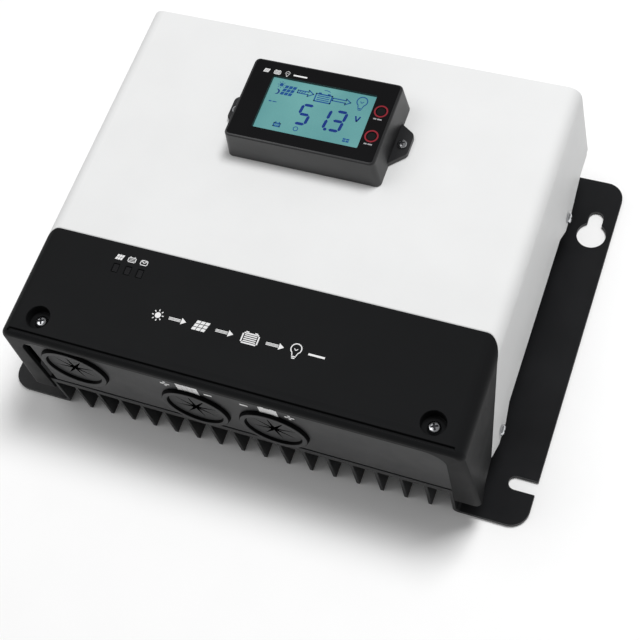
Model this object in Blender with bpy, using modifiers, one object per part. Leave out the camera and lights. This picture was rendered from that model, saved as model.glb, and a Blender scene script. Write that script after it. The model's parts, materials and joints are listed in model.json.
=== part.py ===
"""Wall-mounted solar charge controller with a meter fixed on its cover.

A finned heat sink carries a folded white cover, a moulded black wiring cover,
a gland panel with three slit grommets, the power board and its parts, and the
meter box on top.  Units are metres, +Z is up and the heat sink's flanges rest
on Z = 0.  Depths along +Y are given as the distance behind the fins' front
ends and turned into Y by `y_at`.
"""

import math

import bmesh
import bpy
from mathutils import Matrix, Vector

MM = 0.001

# ---- driving dimensions -------------------------------------------------

OVERALL_WIDTH = 316.0 * MM
DEPTH = 221.0 * MM
COVER_HEIGHT = 58.1 * MM       # from the base plate's top to the covers' flat top
GAP = 0.3 * MM                 # running gap between neighbours

# heat sink
FIN_COUNT = 18
FLANGE_REACH = 38.0 * MM       # from the outer fins out to the flanges' edges
FIN_THICKNESS = 2.0 * MM
FIN_HEIGHT = 29.5 * MM
FIN_ROOT = 1.0 * MM            # how far the fins run into the base plate
BASE_THICKNESS = 5.0 * MM
FLANGE_THICKNESS = 3.0 * MM
FLANGE_CORNER = 10.5 * MM
FIN_FOOT_RADIUS = 3.5 * MM
FIN_FILLET = 2.5 * MM
KEYHOLE_INSET = 11.6 * MM      # from a flange's outer edge
KEYHOLE_REAR = 37.0 * MM       # from the rear edge
KEYHOLE_RADIUS = 8.5 * MM
KEYHOLE_NECK_RADIUS = 4.3 * MM
KEYHOLE_TRAVEL = 11.8 * MM
SLOT_DEPTH = 24.0 * MM
SLOT_RADIUS = 3.95 * MM

# common section of the two covers
COVER_INSET = 23.6 * MM        # from the flanges' outer edges in to the covers' foot
SIDE_DROP = 0.4 * MM           # the foot's level, under the base plate's top
SIDE_TAPER = 0.0783            # half width lost per unit of height
BEND_RADIUS = 8.0 * MM
BEND_STEPS = 8

# white housing cover
SHEET = 1.5 * MM
REAR_INSET = 0.5 * MM          # rear wall, in front of the heat sink's rear edge
EDGE_DROP = 1.0 * MM           # side edges, under the base plate's top
EAR_DROP = 8.0 * MM            # ears' lower edges, under the base plate's top
SIDE_SCREW_DROP = 2.8 * MM
FRONT_SCREW_DEPTH = 40.7 * MM
REAR_SCREW_INSET = 45.7 * MM   # from the heat sink's rear edge
EAR_HALF = 6.2 * MM            # half length of an ear's lower edge
EAR_STEEP = 10.0 * MM          # run of the ear's inner ramp
EAR_SHALLOW = 22.0 * MM        # run of the rear ear's outer ramp

# black terminal cover
WALL = 2.5 * MM
FACE_DEPTH = -1.0 * MM         # its front face stands proud of the fins
FACE_EDGE_RADIUS = 3.5 * MM
LEG_DROP = 12.5 * MM           # legs' feet, under the base plate's top
SEAM_TOP_DEPTH = 66.8 * MM
SEAM_BEND_DEPTH = 55.7 * MM
SEAM_FOOT_DEPTH = 23.3 * MM
SEAM_GAP = 0.4 * MM
ARCH_INSET = 14.0 * MM         # from the covers' foot in to the arch
ARCH_LINTEL = 6.6 * MM         # from the flat top down to the arch
ARCH_RADIUS = 12.0 * MM
GROOVE_START = 1.7 * MM        # depth of the groove's front edge
GROOVE_WIDTH = 1.7 * MM
GROOVE_OVERRUN = 3.0 * MM      # reach past the flat top, into the side bends
GROOVE_CUT = 2.0 * MM
POST_INSET = 9.4 * MM          # from the side of the arch
POST_DEPTH = 12.6 * MM
COUNTERBORE_RADIUS = 6.7 * MM
COUNTERBORE_CUT = 7.0 * MM
BOSS_WALL = 1.6 * MM
BOSS_FLOOR = 2.5 * MM
POST_RADIUS = 3.6 * MM

# light pipes
LED_X = -74.0 * MM
LED_PITCH = 7.3 * MM
LED_COUNT = 3
LED_DEPTH = 51.5 * MM
LED_WIDTH = 3.0 * MM
LED_LENGTH = 4.5 * MM

# gland panel and grommets
PANEL_DEPTH = 0.3 * MM
PANEL_THICKNESS = 2.0 * MM
PANEL_BOTTOM_GAP = 1.0 * MM
PANEL_SIDE_GAP = 0.4 * MM
PANEL_SLOT_WIDTH = 5.0 * MM
PANEL_SLOT_DROP = 13.6 * MM    # slot's upper end, under the flat top
PANEL_FOOT = 14.0 * MM
GLAND_SCREW_X = (-46.0 * MM, 100.0 * MM)
GROMMETS = (                   # name, x, height over the base plate's top
    ("cable_grommet_left", -92.2 * MM, 31.1 * MM),
    ("cable_grommet_middle", -21.7 * MM, 21.4 * MM),
    ("cable_grommet_right", 23.9 * MM, 21.4 * MM),
)
GROMMET_RIM = 2.8 * MM         # how far the flange laps the panel
GROMMET_PROUD = 2.3 * MM
GROMMET_RECESS = 2.0 * MM
MEMBRANE_INSET = 1.6 * MM      # membrane's edge, inside the neck
MEMBRANE_THICKNESS = 1.0 * MM
GROMMET_NECK = 17.0 * MM
SLIT_WIDTH = 0.5 * MM
SLIT_INSET = 2.9 * MM          # slits' ends, inside the membrane's edge
SLIT_COUNT = 4

# remote meter
METER_X = -2.1 * MM
METER_DEPTH = 161.2 * MM
METER_BASE = (90.0 * MM, 54.5 * MM)
METER_TOP = (86.8 * MM, 52.4 * MM)
METER_HEIGHT = 20.0 * MM
METER_WALL = 2.0 * MM
METER_CORNER = 3.0 * MM
EAR_REACH = 53.3 * MM
EAR_ROOT = 12.9 * MM
EAR_TIP = 7.0 * MM             # front half width of an ear's tip
EAR_TIP_REAR = 9.5 * MM
EAR_THICKNESS = 3.0 * MM
EAR_SCREW = 48.9 * MM
WINDOW_SIZE = (61.0 * MM, 34.6 * MM)
WINDOW_OFFSET = (0.85 * MM, -0.7 * MM)
LENS_THICKNESS = 0.8 * MM
LENS_SINK = 0.2 * MM
LCD_THICKNESS = 8.7 * MM
BUTTON_X = 36.5 * MM
BUTTON_OFFSET = -1.0 * MM      # middle of the pair, behind the meter's middle
BUTTON_HALF_PITCH = 8.1 * MM
BUTTON_RADIUS = 2.6 * MM
BUTTON_FLANGE = 3.5 * MM
BUTTON_TRAVEL = 0.8 * MM
SWITCH_SIZE = (5.0 * MM, 6.0 * MM, 3.3 * MM)
METER_CABLE_RADIUS = 1.8 * MM

# power board and what it carries
BOARD_RISE = 8.0 * MM
BOARD_THICKNESS = 1.6 * MM
BOARD_INSET = 16.4 * MM        # from the covers' foot
BOARD_FRONT = 30.0 * MM
BOARD_REAR_INSET = 56.0 * MM   # from the heat sink's rear edge
BOARD_HOLE_INSET = 8.0 * MM
STANDOFF_RADIUS = 3.2 * MM
TERMINAL_X = 1.0 * MM
TERMINAL_PITCH = 22.0 * MM
TERMINAL_COUNT = 4
TERMINAL_FRONT = 33.0 * MM
TERMINAL_SIZE = (96.0 * MM, 30.0 * MM, 26.0 * MM)
TERMINAL_WELL = 4.4 * MM
TERMINAL_ENTRY = 5.0 * MM
INDUCTOR_X = 70.0 * MM
INDUCTOR_DEPTH = 118.0 * MM
INDUCTOR_RADIUS = 26.0 * MM
INDUCTOR_BORE = 11.0 * MM
INDUCTOR_HEIGHT = 24.0 * MM
CAPACITOR_COUNT = 3
CAPACITOR_PITCH = 21.0 * MM
CAPACITOR_DEPTH = 110.0 * MM
CAPACITOR_RADIUS = 9.0 * MM
CAPACITOR_HEIGHT = 36.0 * MM
MOSFET_COUNT = 4
MOSFET_PITCH = 40.0 * MM
MOSFET_REAR = 39.0 * MM        # from the heat sink's rear edge
MOSFET_SIZE = (16.0 * MM, 20.0 * MM, 5.0 * MM)
LEG_SIZE = (1.4 * MM, 6.0 * MM, 0.8 * MM)
LEG_SPREAD = 5.0 * MM
PAD_THICKNESS = 0.5 * MM
BAR_SIZE = (152.0 * MM, 8.0 * MM, 3.0 * MM)

# fasteners: head radius, head height, shank radius, shank length
SIDE_SCREW = (3.1 * MM, 2.0 * MM, 1.4 * MM, 9.0 * MM)
POST_SCREW = (3.6 * MM, 2.4 * MM, 1.9 * MM, 12.0 * MM)
SMALL_SCREW = (2.75 * MM, 1.8 * MM, 1.4 * MM, 7.0 * MM)
BOARD_SCREW = (2.8 * MM, 1.8 * MM, 1.4 * MM, 5.5 * MM)
CLAMP_SCREW = (2.8 * MM, 1.8 * MM, 1.4 * MM, 10.5 * MM)
TERMINAL_SCREW = (4.0 * MM, 4.0 * MM, 2.4 * MM, 8.0 * MM)

# ---- derived levels -----------------------------------------------------

BASE_BOTTOM = FIN_HEIGHT
BASE_TOP = FIN_HEIGHT + BASE_THICKNESS
TOP_Z = BASE_TOP + COVER_HEIGHT  # flat top of both covers
KEYHOLE_X = OVERALL_WIDTH / 2 - KEYHOLE_INSET
KEYHOLE_DEPTH = DEPTH - KEYHOLE_REAR
REAR_SCREW_DEPTH = DEPTH - REAR_SCREW_INSET
SIDE_HALF = OVERALL_WIDTH / 2 - COVER_INSET  # outer half width at SIDE_Z
SIDE_Z = BASE_TOP - SIDE_DROP
SIDE_EDGE_Z = BASE_TOP - EDGE_DROP
EAR_Z = BASE_TOP - EAR_DROP
SIDE_SCREW_Z = BASE_TOP - SIDE_SCREW_DROP
LEG_Z = BASE_TOP - LEG_DROP
HOUSING_REAR = DEPTH - REAR_INSET
ARCH_HALF = SIDE_HALF - ARCH_INSET
POST_X = ARCH_HALF - POST_INSET
BOARD_HALF = SIDE_HALF - BOARD_INSET
BOARD_REAR = DEPTH - BOARD_REAR_INSET
MOSFET_DEPTH = DEPTH - MOSFET_REAR
ARCH_TOP = TOP_Z - ARCH_LINTEL
PANEL_SLOT_TOP = TOP_Z - PANEL_SLOT_DROP
GROMMET_RADIUS = GROMMET_NECK + GROMMET_RIM
MEMBRANE_RADIUS = GROMMET_NECK - MEMBRANE_INSET
SLIT_REACH = MEMBRANE_RADIUS - SLIT_INSET
FIN_OUTER = OVERALL_WIDTH / 2 - FLANGE_REACH
FIN_SPAN = FIN_OUTER - FIN_THICKNESS / 2
FIN_PITCH = 2 * FIN_SPAN / (FIN_COUNT - 1)
SIDE_ANGLE = math.atan(SIDE_TAPER)
BEND_START_Z = TOP_Z - BEND_RADIUS
BOARD_BOTTOM = BASE_TOP + BOARD_RISE
BOARD_TOP = BOARD_BOTTOM + BOARD_THICKNESS
BOSS_BOTTOM = TOP_Z - COUNTERBORE_CUT - BOSS_FLOOR
METER_BOTTOM = TOP_Z + GAP
METER_TOP_Z = METER_BOTTOM + METER_HEIGHT
METER_CEILING = METER_TOP_Z - METER_WALL
PANEL_BOTTOM = BASE_TOP + PANEL_BOTTOM_GAP
PANEL_TOP = ARCH_TOP - PANEL_SIDE_GAP
PANEL_BACK = PANEL_DEPTH + PANEL_THICKNESS
FRONT_REACH = GROMMET_PROUD - PANEL_DEPTH  # how far the grommets pass the fins
NOTCH_REAR = SEAM_FOOT_DEPTH + 3.5 * MM   # base plate is cut back behind the legs


def y_at(depth):
    """World Y of a point `depth` behind the front ends of the fins."""
    return depth - (DEPTH - FRONT_REACH) / 2


# ---- scene helpers ------------------------------------------------------

for old in list(bpy.data.objects):
    bpy.data.objects.remove(old, do_unlink=True)

PARTS = bpy.data.collections.new("charge_controller")
CUTTERS = bpy.data.collections.new("cutters")
bpy.context.scene.collection.children.link(PARTS)
bpy.context.scene.collection.children.link(CUTTERS)


def make_material(name, colour, roughness, metallic=0.0):
    material = bpy.data.materials.new(name)
    material.use_nodes = True
    shader = material.node_tree.nodes["Principled BSDF"]
    shader.inputs["Base Color"].default_value = (*colour, 1.0)
    shader.inputs["Roughness"].default_value = roughness
    shader.inputs["Metallic"].default_value = metallic
    return material


ANODISED = make_material("black_anodised", (0.02, 0.02, 0.022), 0.45, 0.8)
WHITE = make_material("white_powder_coat", (0.85, 0.86, 0.87), 0.45)
BLACK_PLASTIC = make_material("black_plastic", (0.018, 0.018, 0.02), 0.5)
GREY_PLASTIC = make_material("grey_plastic", (0.06, 0.06, 0.065), 0.55)
RUBBER = make_material("black_rubber", (0.03, 0.03, 0.03), 0.8)
STEEL = make_material("zinc_steel", (0.75, 0.75, 0.76), 0.25, 1.0)
ALUMINIUM = make_material("aluminium", (0.8, 0.8, 0.82), 0.35, 1.0)
BRASS = make_material("brass", (0.75, 0.6, 0.3), 0.3, 1.0)
BOARD_GREEN = make_material("board_green", (0.02, 0.2, 0.08), 0.45)
TERMINAL_GREEN = make_material("terminal_green", (0.05, 0.35, 0.15), 0.5)
COPPER = make_material("copper_winding", (0.7, 0.33, 0.15), 0.4, 0.9)
CAPACITOR_BLUE = make_material("capacitor_sleeve", (0.02, 0.03, 0.08), 0.4)
PAD_GREY = make_material("thermal_pad_grey", (0.4, 0.42, 0.45), 0.8)
SMOKED = make_material("smoked_plastic", (0.01, 0.01, 0.012), 0.2)
CLEAR = make_material("clear_plastic", (0.9, 0.95, 0.95), 0.05)
LCD_TEAL = make_material("lcd_teal", (0.25, 0.6, 0.6), 0.3)


def add_object(name, mesh, material=None, collection=PARTS):
    """Link a mesh as a named object."""
    obj = bpy.data.objects.new(name, mesh)
    collection.objects.link(obj)
    if material is not None and not mesh.materials:
        mesh.materials.append(material)
    return obj


def from_bmesh(name, bm, material=None, collection=PARTS):
    """Turn a bmesh into a linked object with its faces pointing out."""
    bmesh.ops.recalc_face_normals(bm, faces=bm.faces)
    mesh = bpy.data.meshes.new(name)
    bm.to_mesh(mesh)
    bm.free()
    return add_object(name, mesh, material, collection)


def evaluated_mesh(obj, flatten=True):
    """The object's mesh after its modifiers, welded, in world space."""
    bpy.context.view_layer.update()
    depsgraph = bpy.context.evaluated_depsgraph_get()
    mesh = bpy.data.meshes.new_from_object(obj.evaluated_get(depsgraph))
    bm = bmesh.new()
    bm.from_mesh(mesh)
    bmesh.ops.remove_doubles(bm, verts=bm.verts, dist=0.000001)
    if flatten:
        bmesh.ops.dissolve_limit(bm, angle_limit=0.001, verts=bm.verts, edges=bm.edges)
    bmesh.ops.recalc_face_normals(bm, faces=bm.faces)
    bm.transform(obj.matrix_world)
    bm.to_mesh(mesh)
    bm.free()
    return mesh


AXIS_FRAMES = {
    "X": Matrix(((0, 0, 1, 0), (1, 0, 0, 0), (0, 1, 0, 0), (0, 0, 0, 1))),
    "Y": Matrix(((1, 0, 0, 0), (0, 0, -1, 0), (0, 1, 0, 0), (0, 0, 0, 1))),
    "Z": Matrix.Identity(4),
}


def prism(name, outline, axis, start, end, material=None, collection=PARTS):
    """A flat outline extruded from `start` to `end` along a world axis.

    The outline is (y, z) points for X, (x, z) points for Y and (x, y) for Z.
    """
    curve = bpy.data.curves.new(name + "_outline", "CURVE")
    curve.dimensions = "2D"
    curve.fill_mode = "BOTH"
    curve.extrude = abs(end - start) / 2
    spline = curve.splines.new("POLY")
    spline.points.add(len(outline) - 1)
    for point, (u, v) in zip(spline.points, outline):
        point.co = (u, v, 0.0, 1.0)
    spline.use_cyclic_u = True
    guide = bpy.data.objects.new(name + "_guide", curve)
    CUTTERS.objects.link(guide)
    middle = (start + end) / 2
    shift = {"X": (middle, 0, 0), "Y": (0, middle, 0), "Z": (0, 0, middle)}[axis]
    guide.matrix_world = Matrix.Translation(shift) @ AXIS_FRAMES[axis]
    mesh = evaluated_mesh(guide)
    mesh.name = name
    bpy.data.objects.remove(guide, do_unlink=True)
    bpy.data.curves.remove(curve)
    return add_object(name, mesh, material, collection)


def box(name, low, high, material=None, collection=PARTS):
    """An axis-aligned box between two corners."""
    bm = bmesh.new()
    bmesh.ops.create_cube(bm, size=1.0)
    low, high = Vector(low), Vector(high)
    size = high - low
    bmesh.ops.scale(bm, vec=size, verts=bm.verts)
    bmesh.ops.translate(bm, vec=(low + high) / 2, verts=bm.verts)
    return from_bmesh(name, bm, material, collection)


def add_cylinder(bm, start, end, radius, segments=24, tip_radius=None):
    """Add a closed cylinder or cone between two points to a bmesh."""
    start, end = Vector(start), Vector(end)
    axis = end - start
    turn = axis.to_track_quat("Z", "Y").to_matrix().to_4x4()
    matrix = Matrix.Translation((start + end) / 2) @ turn
    bmesh.ops.create_cone(
        bm, cap_ends=True, cap_tris=False, segments=segments, radius1=radius,
        radius2=radius if tip_radius is None else tip_radius,
        depth=axis.length, matrix=matrix)


def add_box(bm, low, high):
    """Add an axis-aligned box to a bmesh."""
    low, high = Vector(low), Vector(high)
    scale = Matrix.Diagonal((*(high - low), 1.0))
    bmesh.ops.create_cube(bm, size=1.0, matrix=Matrix.Translation((low + high) / 2) @ scale)


def turned(name, profile, segments, material=None, collection=PARTS):
    """A solid turned about Z from (radius, z) points, top to bottom."""
    bm = bmesh.new()
    verts = [bm.verts.new((radius, 0.0, z)) for radius, z in profile]
    for first, second in zip(verts, verts[1:]):
        bm.edges.new((first, second))
    mesh = bpy.data.meshes.new(name)
    bm.to_mesh(mesh)
    bm.free()
    obj = add_object(name, mesh, material, collection)
    screw = obj.modifiers.new("turn", "SCREW")
    screw.steps = segments
    screw.render_steps = segments
    screw.use_merge_vertices = True
    screw.merge_threshold = 0.000001
    return obj


def combine(target, operation, cutter):
    """Join or cut `target` with `cutter`, which stays as a hidden guide."""
    if cutter.name not in CUTTERS.objects:
        for collection in list(cutter.users_collection):
            collection.objects.unlink(cutter)
        CUTTERS.objects.link(cutter)
    cutter.hide_render = True
    cutter.display_type = "WIRE"
    modifier = target.modifiers.new(cutter.name, "BOOLEAN")
    modifier.operation = operation
    modifier.solver = "EXACT"
    modifier.object = cutter


def cut(target, cutter):
    combine(target, "DIFFERENCE", cutter)


def join(target, cutter):
    combine(target, "UNION", cutter)


def drill(target, holes, segments=24):
    """Cut round holes given as (start, end, radius)."""
    bm = bmesh.new()
    for start, end, radius in holes:
        add_cylinder(bm, start, end, radius, segments)
    cut(target, from_bmesh(target.name + "_holes", bm, None, CUTTERS))


def smooth(obj, angle=35.0):
    """Shade smooth, with edges sharper than `angle` degrees kept."""
    obj.data.shade_smooth()
    obj.data.set_sharp_from_angle(angle=math.radians(angle))


def arc(centre, radius, start, end, steps):
    """Points of an arc, angles in degrees, both ends included."""
    points = []
    for index in range(steps + 1):
        angle = math.radians(start + (end - start) * index / steps)
        points.append((centre[0] + radius * math.cos(angle),
                       centre[1] + radius * math.sin(angle)))
    return points


def mirrored(points):
    """The same outline on the other side of x = 0, in reverse order."""
    return [(-x, y) for x, y in reversed(points)]


# ---- fasteners ----------------------------------------------------------

def screw_mesh(name, size, recess=True):
    """A pan-head screw pointing down -Z, its head seated on z = 0."""
    head_radius, head_height, shank_radius, shank_length = size
    profile = [
        (0.0, head_height),
        (head_radius * 0.55, head_height * 0.94),
        (head_radius * 0.88, head_height * 0.66),
        (head_radius, head_height * 0.25),
        (head_radius, 0.0),
        (shank_radius, 0.0),
        (shank_radius, -shank_length),
        (0.0, -shank_length),
    ]
    blank = turned(name + "_blank", profile, 16 if recess else 10, STEEL, CUTTERS)
    if recess:
        arm = head_radius * 0.55
        slot = head_radius * 0.13
        cross = bmesh.new()
        add_box(cross, (-arm, -slot, head_height * 0.35), (arm, slot, head_height * 1.5))
        first = from_bmesh(name + "_cross_x", cross, None, CUTTERS)
        cut(blank, first)
        cross = bmesh.new()
        add_box(cross, (-slot, -arm, head_height * 0.35), (slot, arm, head_height * 1.5))
        second = from_bmesh(name + "_cross_y", cross, None, CUTTERS)
        cut(blank, second)
    mesh = evaluated_mesh(blank, flatten=False)
    mesh.name = name
    for guide in [blank] + ([first, second] if recess else []):
        bpy.data.objects.remove(guide, do_unlink=True)
    mesh.materials.clear()
    mesh.materials.append(STEEL)
    return mesh


def place_screw(name, mesh, seat, direction=(0, 0, 1)):
    """Put a screw with its head's underside on `seat`, head towards `direction`."""
    obj = add_object(name, mesh)
    turn = Vector(direction).to_track_quat("Z", "Y").to_matrix().to_4x4()
    obj.matrix_world = Matrix.Translation(seat) @ turn
    smooth(obj)
    return obj


# ---- heat sink ----------------------------------------------------------

def half_width(z, inset=0.0):
    """Half width of the covers' sloping sides at height z."""
    return SIDE_HALF - (z - SIDE_Z) * SIDE_TAPER - inset / math.cos(SIDE_ANGLE)


BASE_HALF = half_width(BASE_TOP, SHEET + GAP)


def rail_outline(side):
    """(x, z) outline of an outer fin with its flange, rooted in the base plate."""
    inner = FIN_SPAN - FIN_THICKNESS / 2
    half = OVERALL_WIDTH / 2
    root = BASE_BOTTOM + FIN_ROOT
    right = [(inner, root)] + arc((inner + FIN_FOOT_RADIUS, FIN_FOOT_RADIUS),
                                  FIN_FOOT_RADIUS, 180, 270, 5)
    right += [(half, 0.0), (half, FLANGE_THICKNESS)]
    right += arc((FIN_OUTER + FIN_FILLET, FLANGE_THICKNESS + FIN_FILLET),
                 FIN_FILLET, 270, 180, 4)
    right += [(FIN_OUTER, root)]
    return right if side > 0 else mirrored(right)


def keyhole_outline(side):
    x = side * KEYHOLE_X
    y = y_at(KEYHOLE_DEPTH)
    reach = math.degrees(math.asin(KEYHOLE_NECK_RADIUS / KEYHOLE_RADIUS))
    points = arc((x, y), KEYHOLE_RADIUS, 90 + reach, 450 - reach, 28)
    return points + arc((x, y + KEYHOLE_TRAVEL), KEYHOLE_NECK_RADIUS, 0, 180, 12)


def slot_outline(side):
    x = side * KEYHOLE_X
    y = y_at(SLOT_DEPTH)
    outer = side * (OVERALL_WIDTH / 2 + 5 * MM)
    points = arc((x, y), SLOT_RADIUS, 90, 90 + side * 180, 12)
    return points + [(outer, y - SLOT_RADIUS), (outer, y + SLOT_RADIUS)]


def corner_outline(side, end):
    """The waste outside a flange's rounded corner; end is -1 front, 1 rear."""
    margin = 3 * MM
    x = side * (OVERALL_WIDTH / 2 - FLANGE_CORNER)
    inward = FLANGE_CORNER
    y = y_at(inward if end < 0 else DEPTH - inward)
    start = 0 if side > 0 else 180
    finish = start + (90 if side * end > 0 else -90)
    points = arc((x, y), FLANGE_CORNER, start, finish, 8)
    outer_x = side * (OVERALL_WIDTH / 2 + margin)
    outer_y = y + end * (FLANGE_CORNER + margin)
    return points + [(x, outer_y), (outer_x, outer_y), (outer_x, y)]


def side_screw_seats():
    """Name, head seat and outward direction of each cover screw."""
    x = half_width(SIDE_SCREW_Z, -GAP)
    seats = []
    for place, depth in (("front", FRONT_SCREW_DEPTH), ("rear", REAR_SCREW_DEPTH)):
        for side_name, side in (("left", -1), ("right", 1)):
            seat = Vector((side * x, y_at(depth), SIDE_SCREW_Z))
            outward = Vector((side * math.cos(SIDE_ANGLE), 0.0, math.sin(SIDE_ANGLE)))
            seats.append((f"cover_screw_{place}_{side_name}", seat, outward))
    return seats


def standoff_places():
    inset = BOARD_HOLE_INSET
    places = []
    for end_name, depth in (("front", BOARD_FRONT + inset), ("rear", BOARD_REAR - inset)):
        for side_name, side in (("left", -1), ("right", 1)):
            places.append((f"{end_name}_{side_name}", side * (BOARD_HALF - inset), depth))
    return places


def clamp_places():
    return [(-MOSFET_PITCH, MOSFET_DEPTH), (MOSFET_PITCH, MOSFET_DEPTH)]


def build_heat_sink():
    front, rear = y_at(0.0), y_at(DEPTH)
    sink = box("heat_sink", (-BASE_HALF, front, BASE_BOTTOM), (BASE_HALF, rear, BASE_TOP),
               ANODISED)
    fins = bmesh.new()
    for index in range(1, FIN_COUNT - 1):
        x = -FIN_SPAN + index * FIN_PITCH
        add_box(fins, (x - FIN_THICKNESS / 2, front, 0.0),
                (x + FIN_THICKNESS / 2, rear, BASE_BOTTOM + FIN_ROOT))
    join(sink, from_bmesh("inner_fins", fins, None, CUTTERS))
    for tag, side in (("left", -1), ("right", 1)):
        join(sink, prism("rail_" + tag, rail_outline(side), "Y", front, rear, None, CUTTERS))
    low, high = -2 * MM, FLANGE_THICKNESS + 1 * MM
    for side in (-1, 1):
        tag = "left" if side < 0 else "right"
        cut(sink, prism(f"keyhole_{tag}", keyhole_outline(side), "Z", low, high,
                        None, CUTTERS))
        cut(sink, prism(f"slot_{tag}", slot_outline(side), "Z", low, high, None, CUTTERS))
        for end in (-1, 1):
            place = "front" if end < 0 else "rear"
            cut(sink, prism(f"flange_corner_{place}_{tag}", corner_outline(side, end),
                            "Z", low, high, None, CUTTERS))
        near, far = sorted((side * (FIN_OUTER + 0.05 * MM), side * (BASE_HALF + 5 * MM)))
        cut(sink, box(f"leg_notch_{tag}", (near, y_at(-5 * MM), BASE_BOTTOM - 5 * MM),
                      (far, y_at(NOTCH_REAR), BASE_TOP + 5 * MM), None, CUTTERS))
    holes = []
    bore = SIDE_SCREW[2] + GAP
    for _, seat, outward in side_screw_seats():
        holes.append((seat + outward * 2 * MM, seat - outward * (SIDE_SCREW[3] + 1 * MM), bore))
    blind = BASE_TOP - 4.5 * MM
    above = BASE_TOP + 3 * MM
    for side in (-1, 1):
        x, y = side * POST_X, y_at(POST_DEPTH)
        holes.append(((x, y, above), (x, y, blind), 2.2 * MM))
    for _, x, depth in standoff_places():
        holes.append(((x, y_at(depth), above), (x, y_at(depth), blind), 1.8 * MM))
    for x, depth in clamp_places():
        holes.append(((x, y_at(depth), above), (x, y_at(depth), blind), 1.7 * MM))
    for x in GLAND_SCREW_X:
        y = y_at(PANEL_DEPTH + PANEL_FOOT * 0.6)
        holes.append(((x, y, above), (x, y, blind), 1.7 * MM))
    drill(sink, holes, 16)
    return sink


# ---- covers -------------------------------------------------------------

def section_outline(inset, bottom_z):
    """Closed (x, z) section of the covers, offset inward by `inset`."""
    radius = BEND_RADIUS - inset
    centre_z = TOP_Z - inset - radius
    centre_x = half_width(centre_z, inset) - radius / math.cos(SIDE_ANGLE)
    right = [(half_width(bottom_z, inset), bottom_z)]
    right += arc((centre_x, centre_z), radius, math.degrees(SIDE_ANGLE), 90, BEND_STEPS)
    return right + mirrored(right)


def seam(shift):
    """(depth, z) points of the slanting joint between the two covers, bottom up."""
    rise = TOP_Z + 3 * MM
    slope = (SEAM_TOP_DEPTH - SEAM_BEND_DEPTH) / (TOP_Z - BEND_START_Z)
    return [
        (SEAM_FOOT_DEPTH + shift, SIDE_EDGE_Z),
        (SEAM_BEND_DEPTH + shift, BEND_START_Z),
        (SEAM_TOP_DEPTH + shift, TOP_Z),
        (SEAM_TOP_DEPTH + shift + slope * 3 * MM, rise),
    ]


def in_world(points):
    """(depth, z) points as (y, z) points."""
    return [(y_at(depth), z) for depth, z in points]


def lower_edge_outline():
    """The waste under the housing's side edges, with an ear at each screw."""
    front_low = FRONT_SCREW_DEPTH - EAR_HALF
    rear_low = REAR_SCREW_DEPTH - EAR_HALF
    under = EAR_Z - 10 * MM
    return in_world([
        (0.0, under), (0.0, SIDE_EDGE_Z), (SEAM_FOOT_DEPTH + SEAM_GAP, SIDE_EDGE_Z),
        (front_low, EAR_Z), (front_low + 2 * EAR_HALF, EAR_Z),
        (front_low + 2 * EAR_HALF + EAR_STEEP, SIDE_EDGE_Z),
        (rear_low - EAR_STEEP, SIDE_EDGE_Z), (rear_low, EAR_Z),
        (rear_low + 2 * EAR_HALF, EAR_Z),
        (rear_low + 2 * EAR_HALF + EAR_SHALLOW, SIDE_EDGE_Z),
        (DEPTH + 10 * MM, SIDE_EDGE_Z), (DEPTH + 10 * MM, under),
    ])


def build_housing_cover():
    skirt = EAR_Z - 2 * MM
    cover = prism("housing_cover", section_outline(0.0, skirt), "Y",
                  y_at(5 * MM), y_at(HOUSING_REAR), WHITE)
    cut(cover, prism("housing_hollow", section_outline(SHEET, skirt - 5 * MM), "Y",
                     y_at(-5 * MM), y_at(HOUSING_REAR - SHEET), None, CUTTERS))
    wide = OVERALL_WIDTH / 2
    front = [(y_at(-10 * MM), 0.0), (y_at(SEAM_FOOT_DEPTH + SEAM_GAP), 0.0)]
    front += in_world(seam(SEAM_GAP)) + [(y_at(-10 * MM), TOP_Z + 3 * MM)]
    cut(cover, prism("housing_front_waste", front, "X", -wide, wide, None, CUTTERS))
    cut(cover, prism("housing_edge_waste", lower_edge_outline(), "X", -wide, wide,
                     None, CUTTERS))
    cut(cover, box("rear_wall_waste", (-wide, y_at(HOUSING_REAR - SHEET - 1 * MM), 0.0),
                   (wide, y_at(DEPTH + 5 * MM), BASE_TOP + 0.4 * MM), None, CUTTERS))
    holes = []
    for _, seat, outward in side_screw_seats():
        holes.append((seat + outward * 3 * MM, seat - outward * 4 * MM,
                      SIDE_SCREW[2] + GAP))
    top, under = TOP_Z + 2 * MM, TOP_Z - SHEET - 2 * MM
    for side in (-1, 1):
        x = METER_X + side * EAR_SCREW
        holes.append(((x, y_at(METER_DEPTH), top), (x, y_at(METER_DEPTH), under),
                      SMALL_SCREW[2] + GAP))
    holes.append(((METER_X, y_at(METER_DEPTH), top), (METER_X, y_at(METER_DEPTH), under),
                  METER_CABLE_RADIUS + 1.2 * MM))
    drill(cover, holes, 20)
    return cover


def round_front_edges(obj, depth, radius, lowest):
    """Round the edges round the front face of a prism, except its lower edge."""
    y = y_at(depth)
    bm = bmesh.new()
    bm.from_mesh(obj.data)
    edges = [edge for edge in bm.edges
             if all(abs(vert.co.y - y) < 0.01 * MM for vert in edge.verts)
             and not all(vert.co.z < lowest + 0.01 * MM for vert in edge.verts)]
    bmesh.ops.bevel(bm, geom=edges, offset=radius, segments=4, profile=0.5,
                    affect="EDGES", clamp_overlap=True)
    bm.to_mesh(obj.data)
    bm.free()


def arch_outline(inset, bottom_z):
    """(x, z) outline of the arched opening of the wiring cover."""
    half = ARCH_HALF - inset
    radius = ARCH_RADIUS - inset
    top = ARCH_TOP - inset
    right = [(half, bottom_z)] + arc((half - radius, top - radius), radius, 0, 90, 6)
    return right + mirrored(right)


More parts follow.
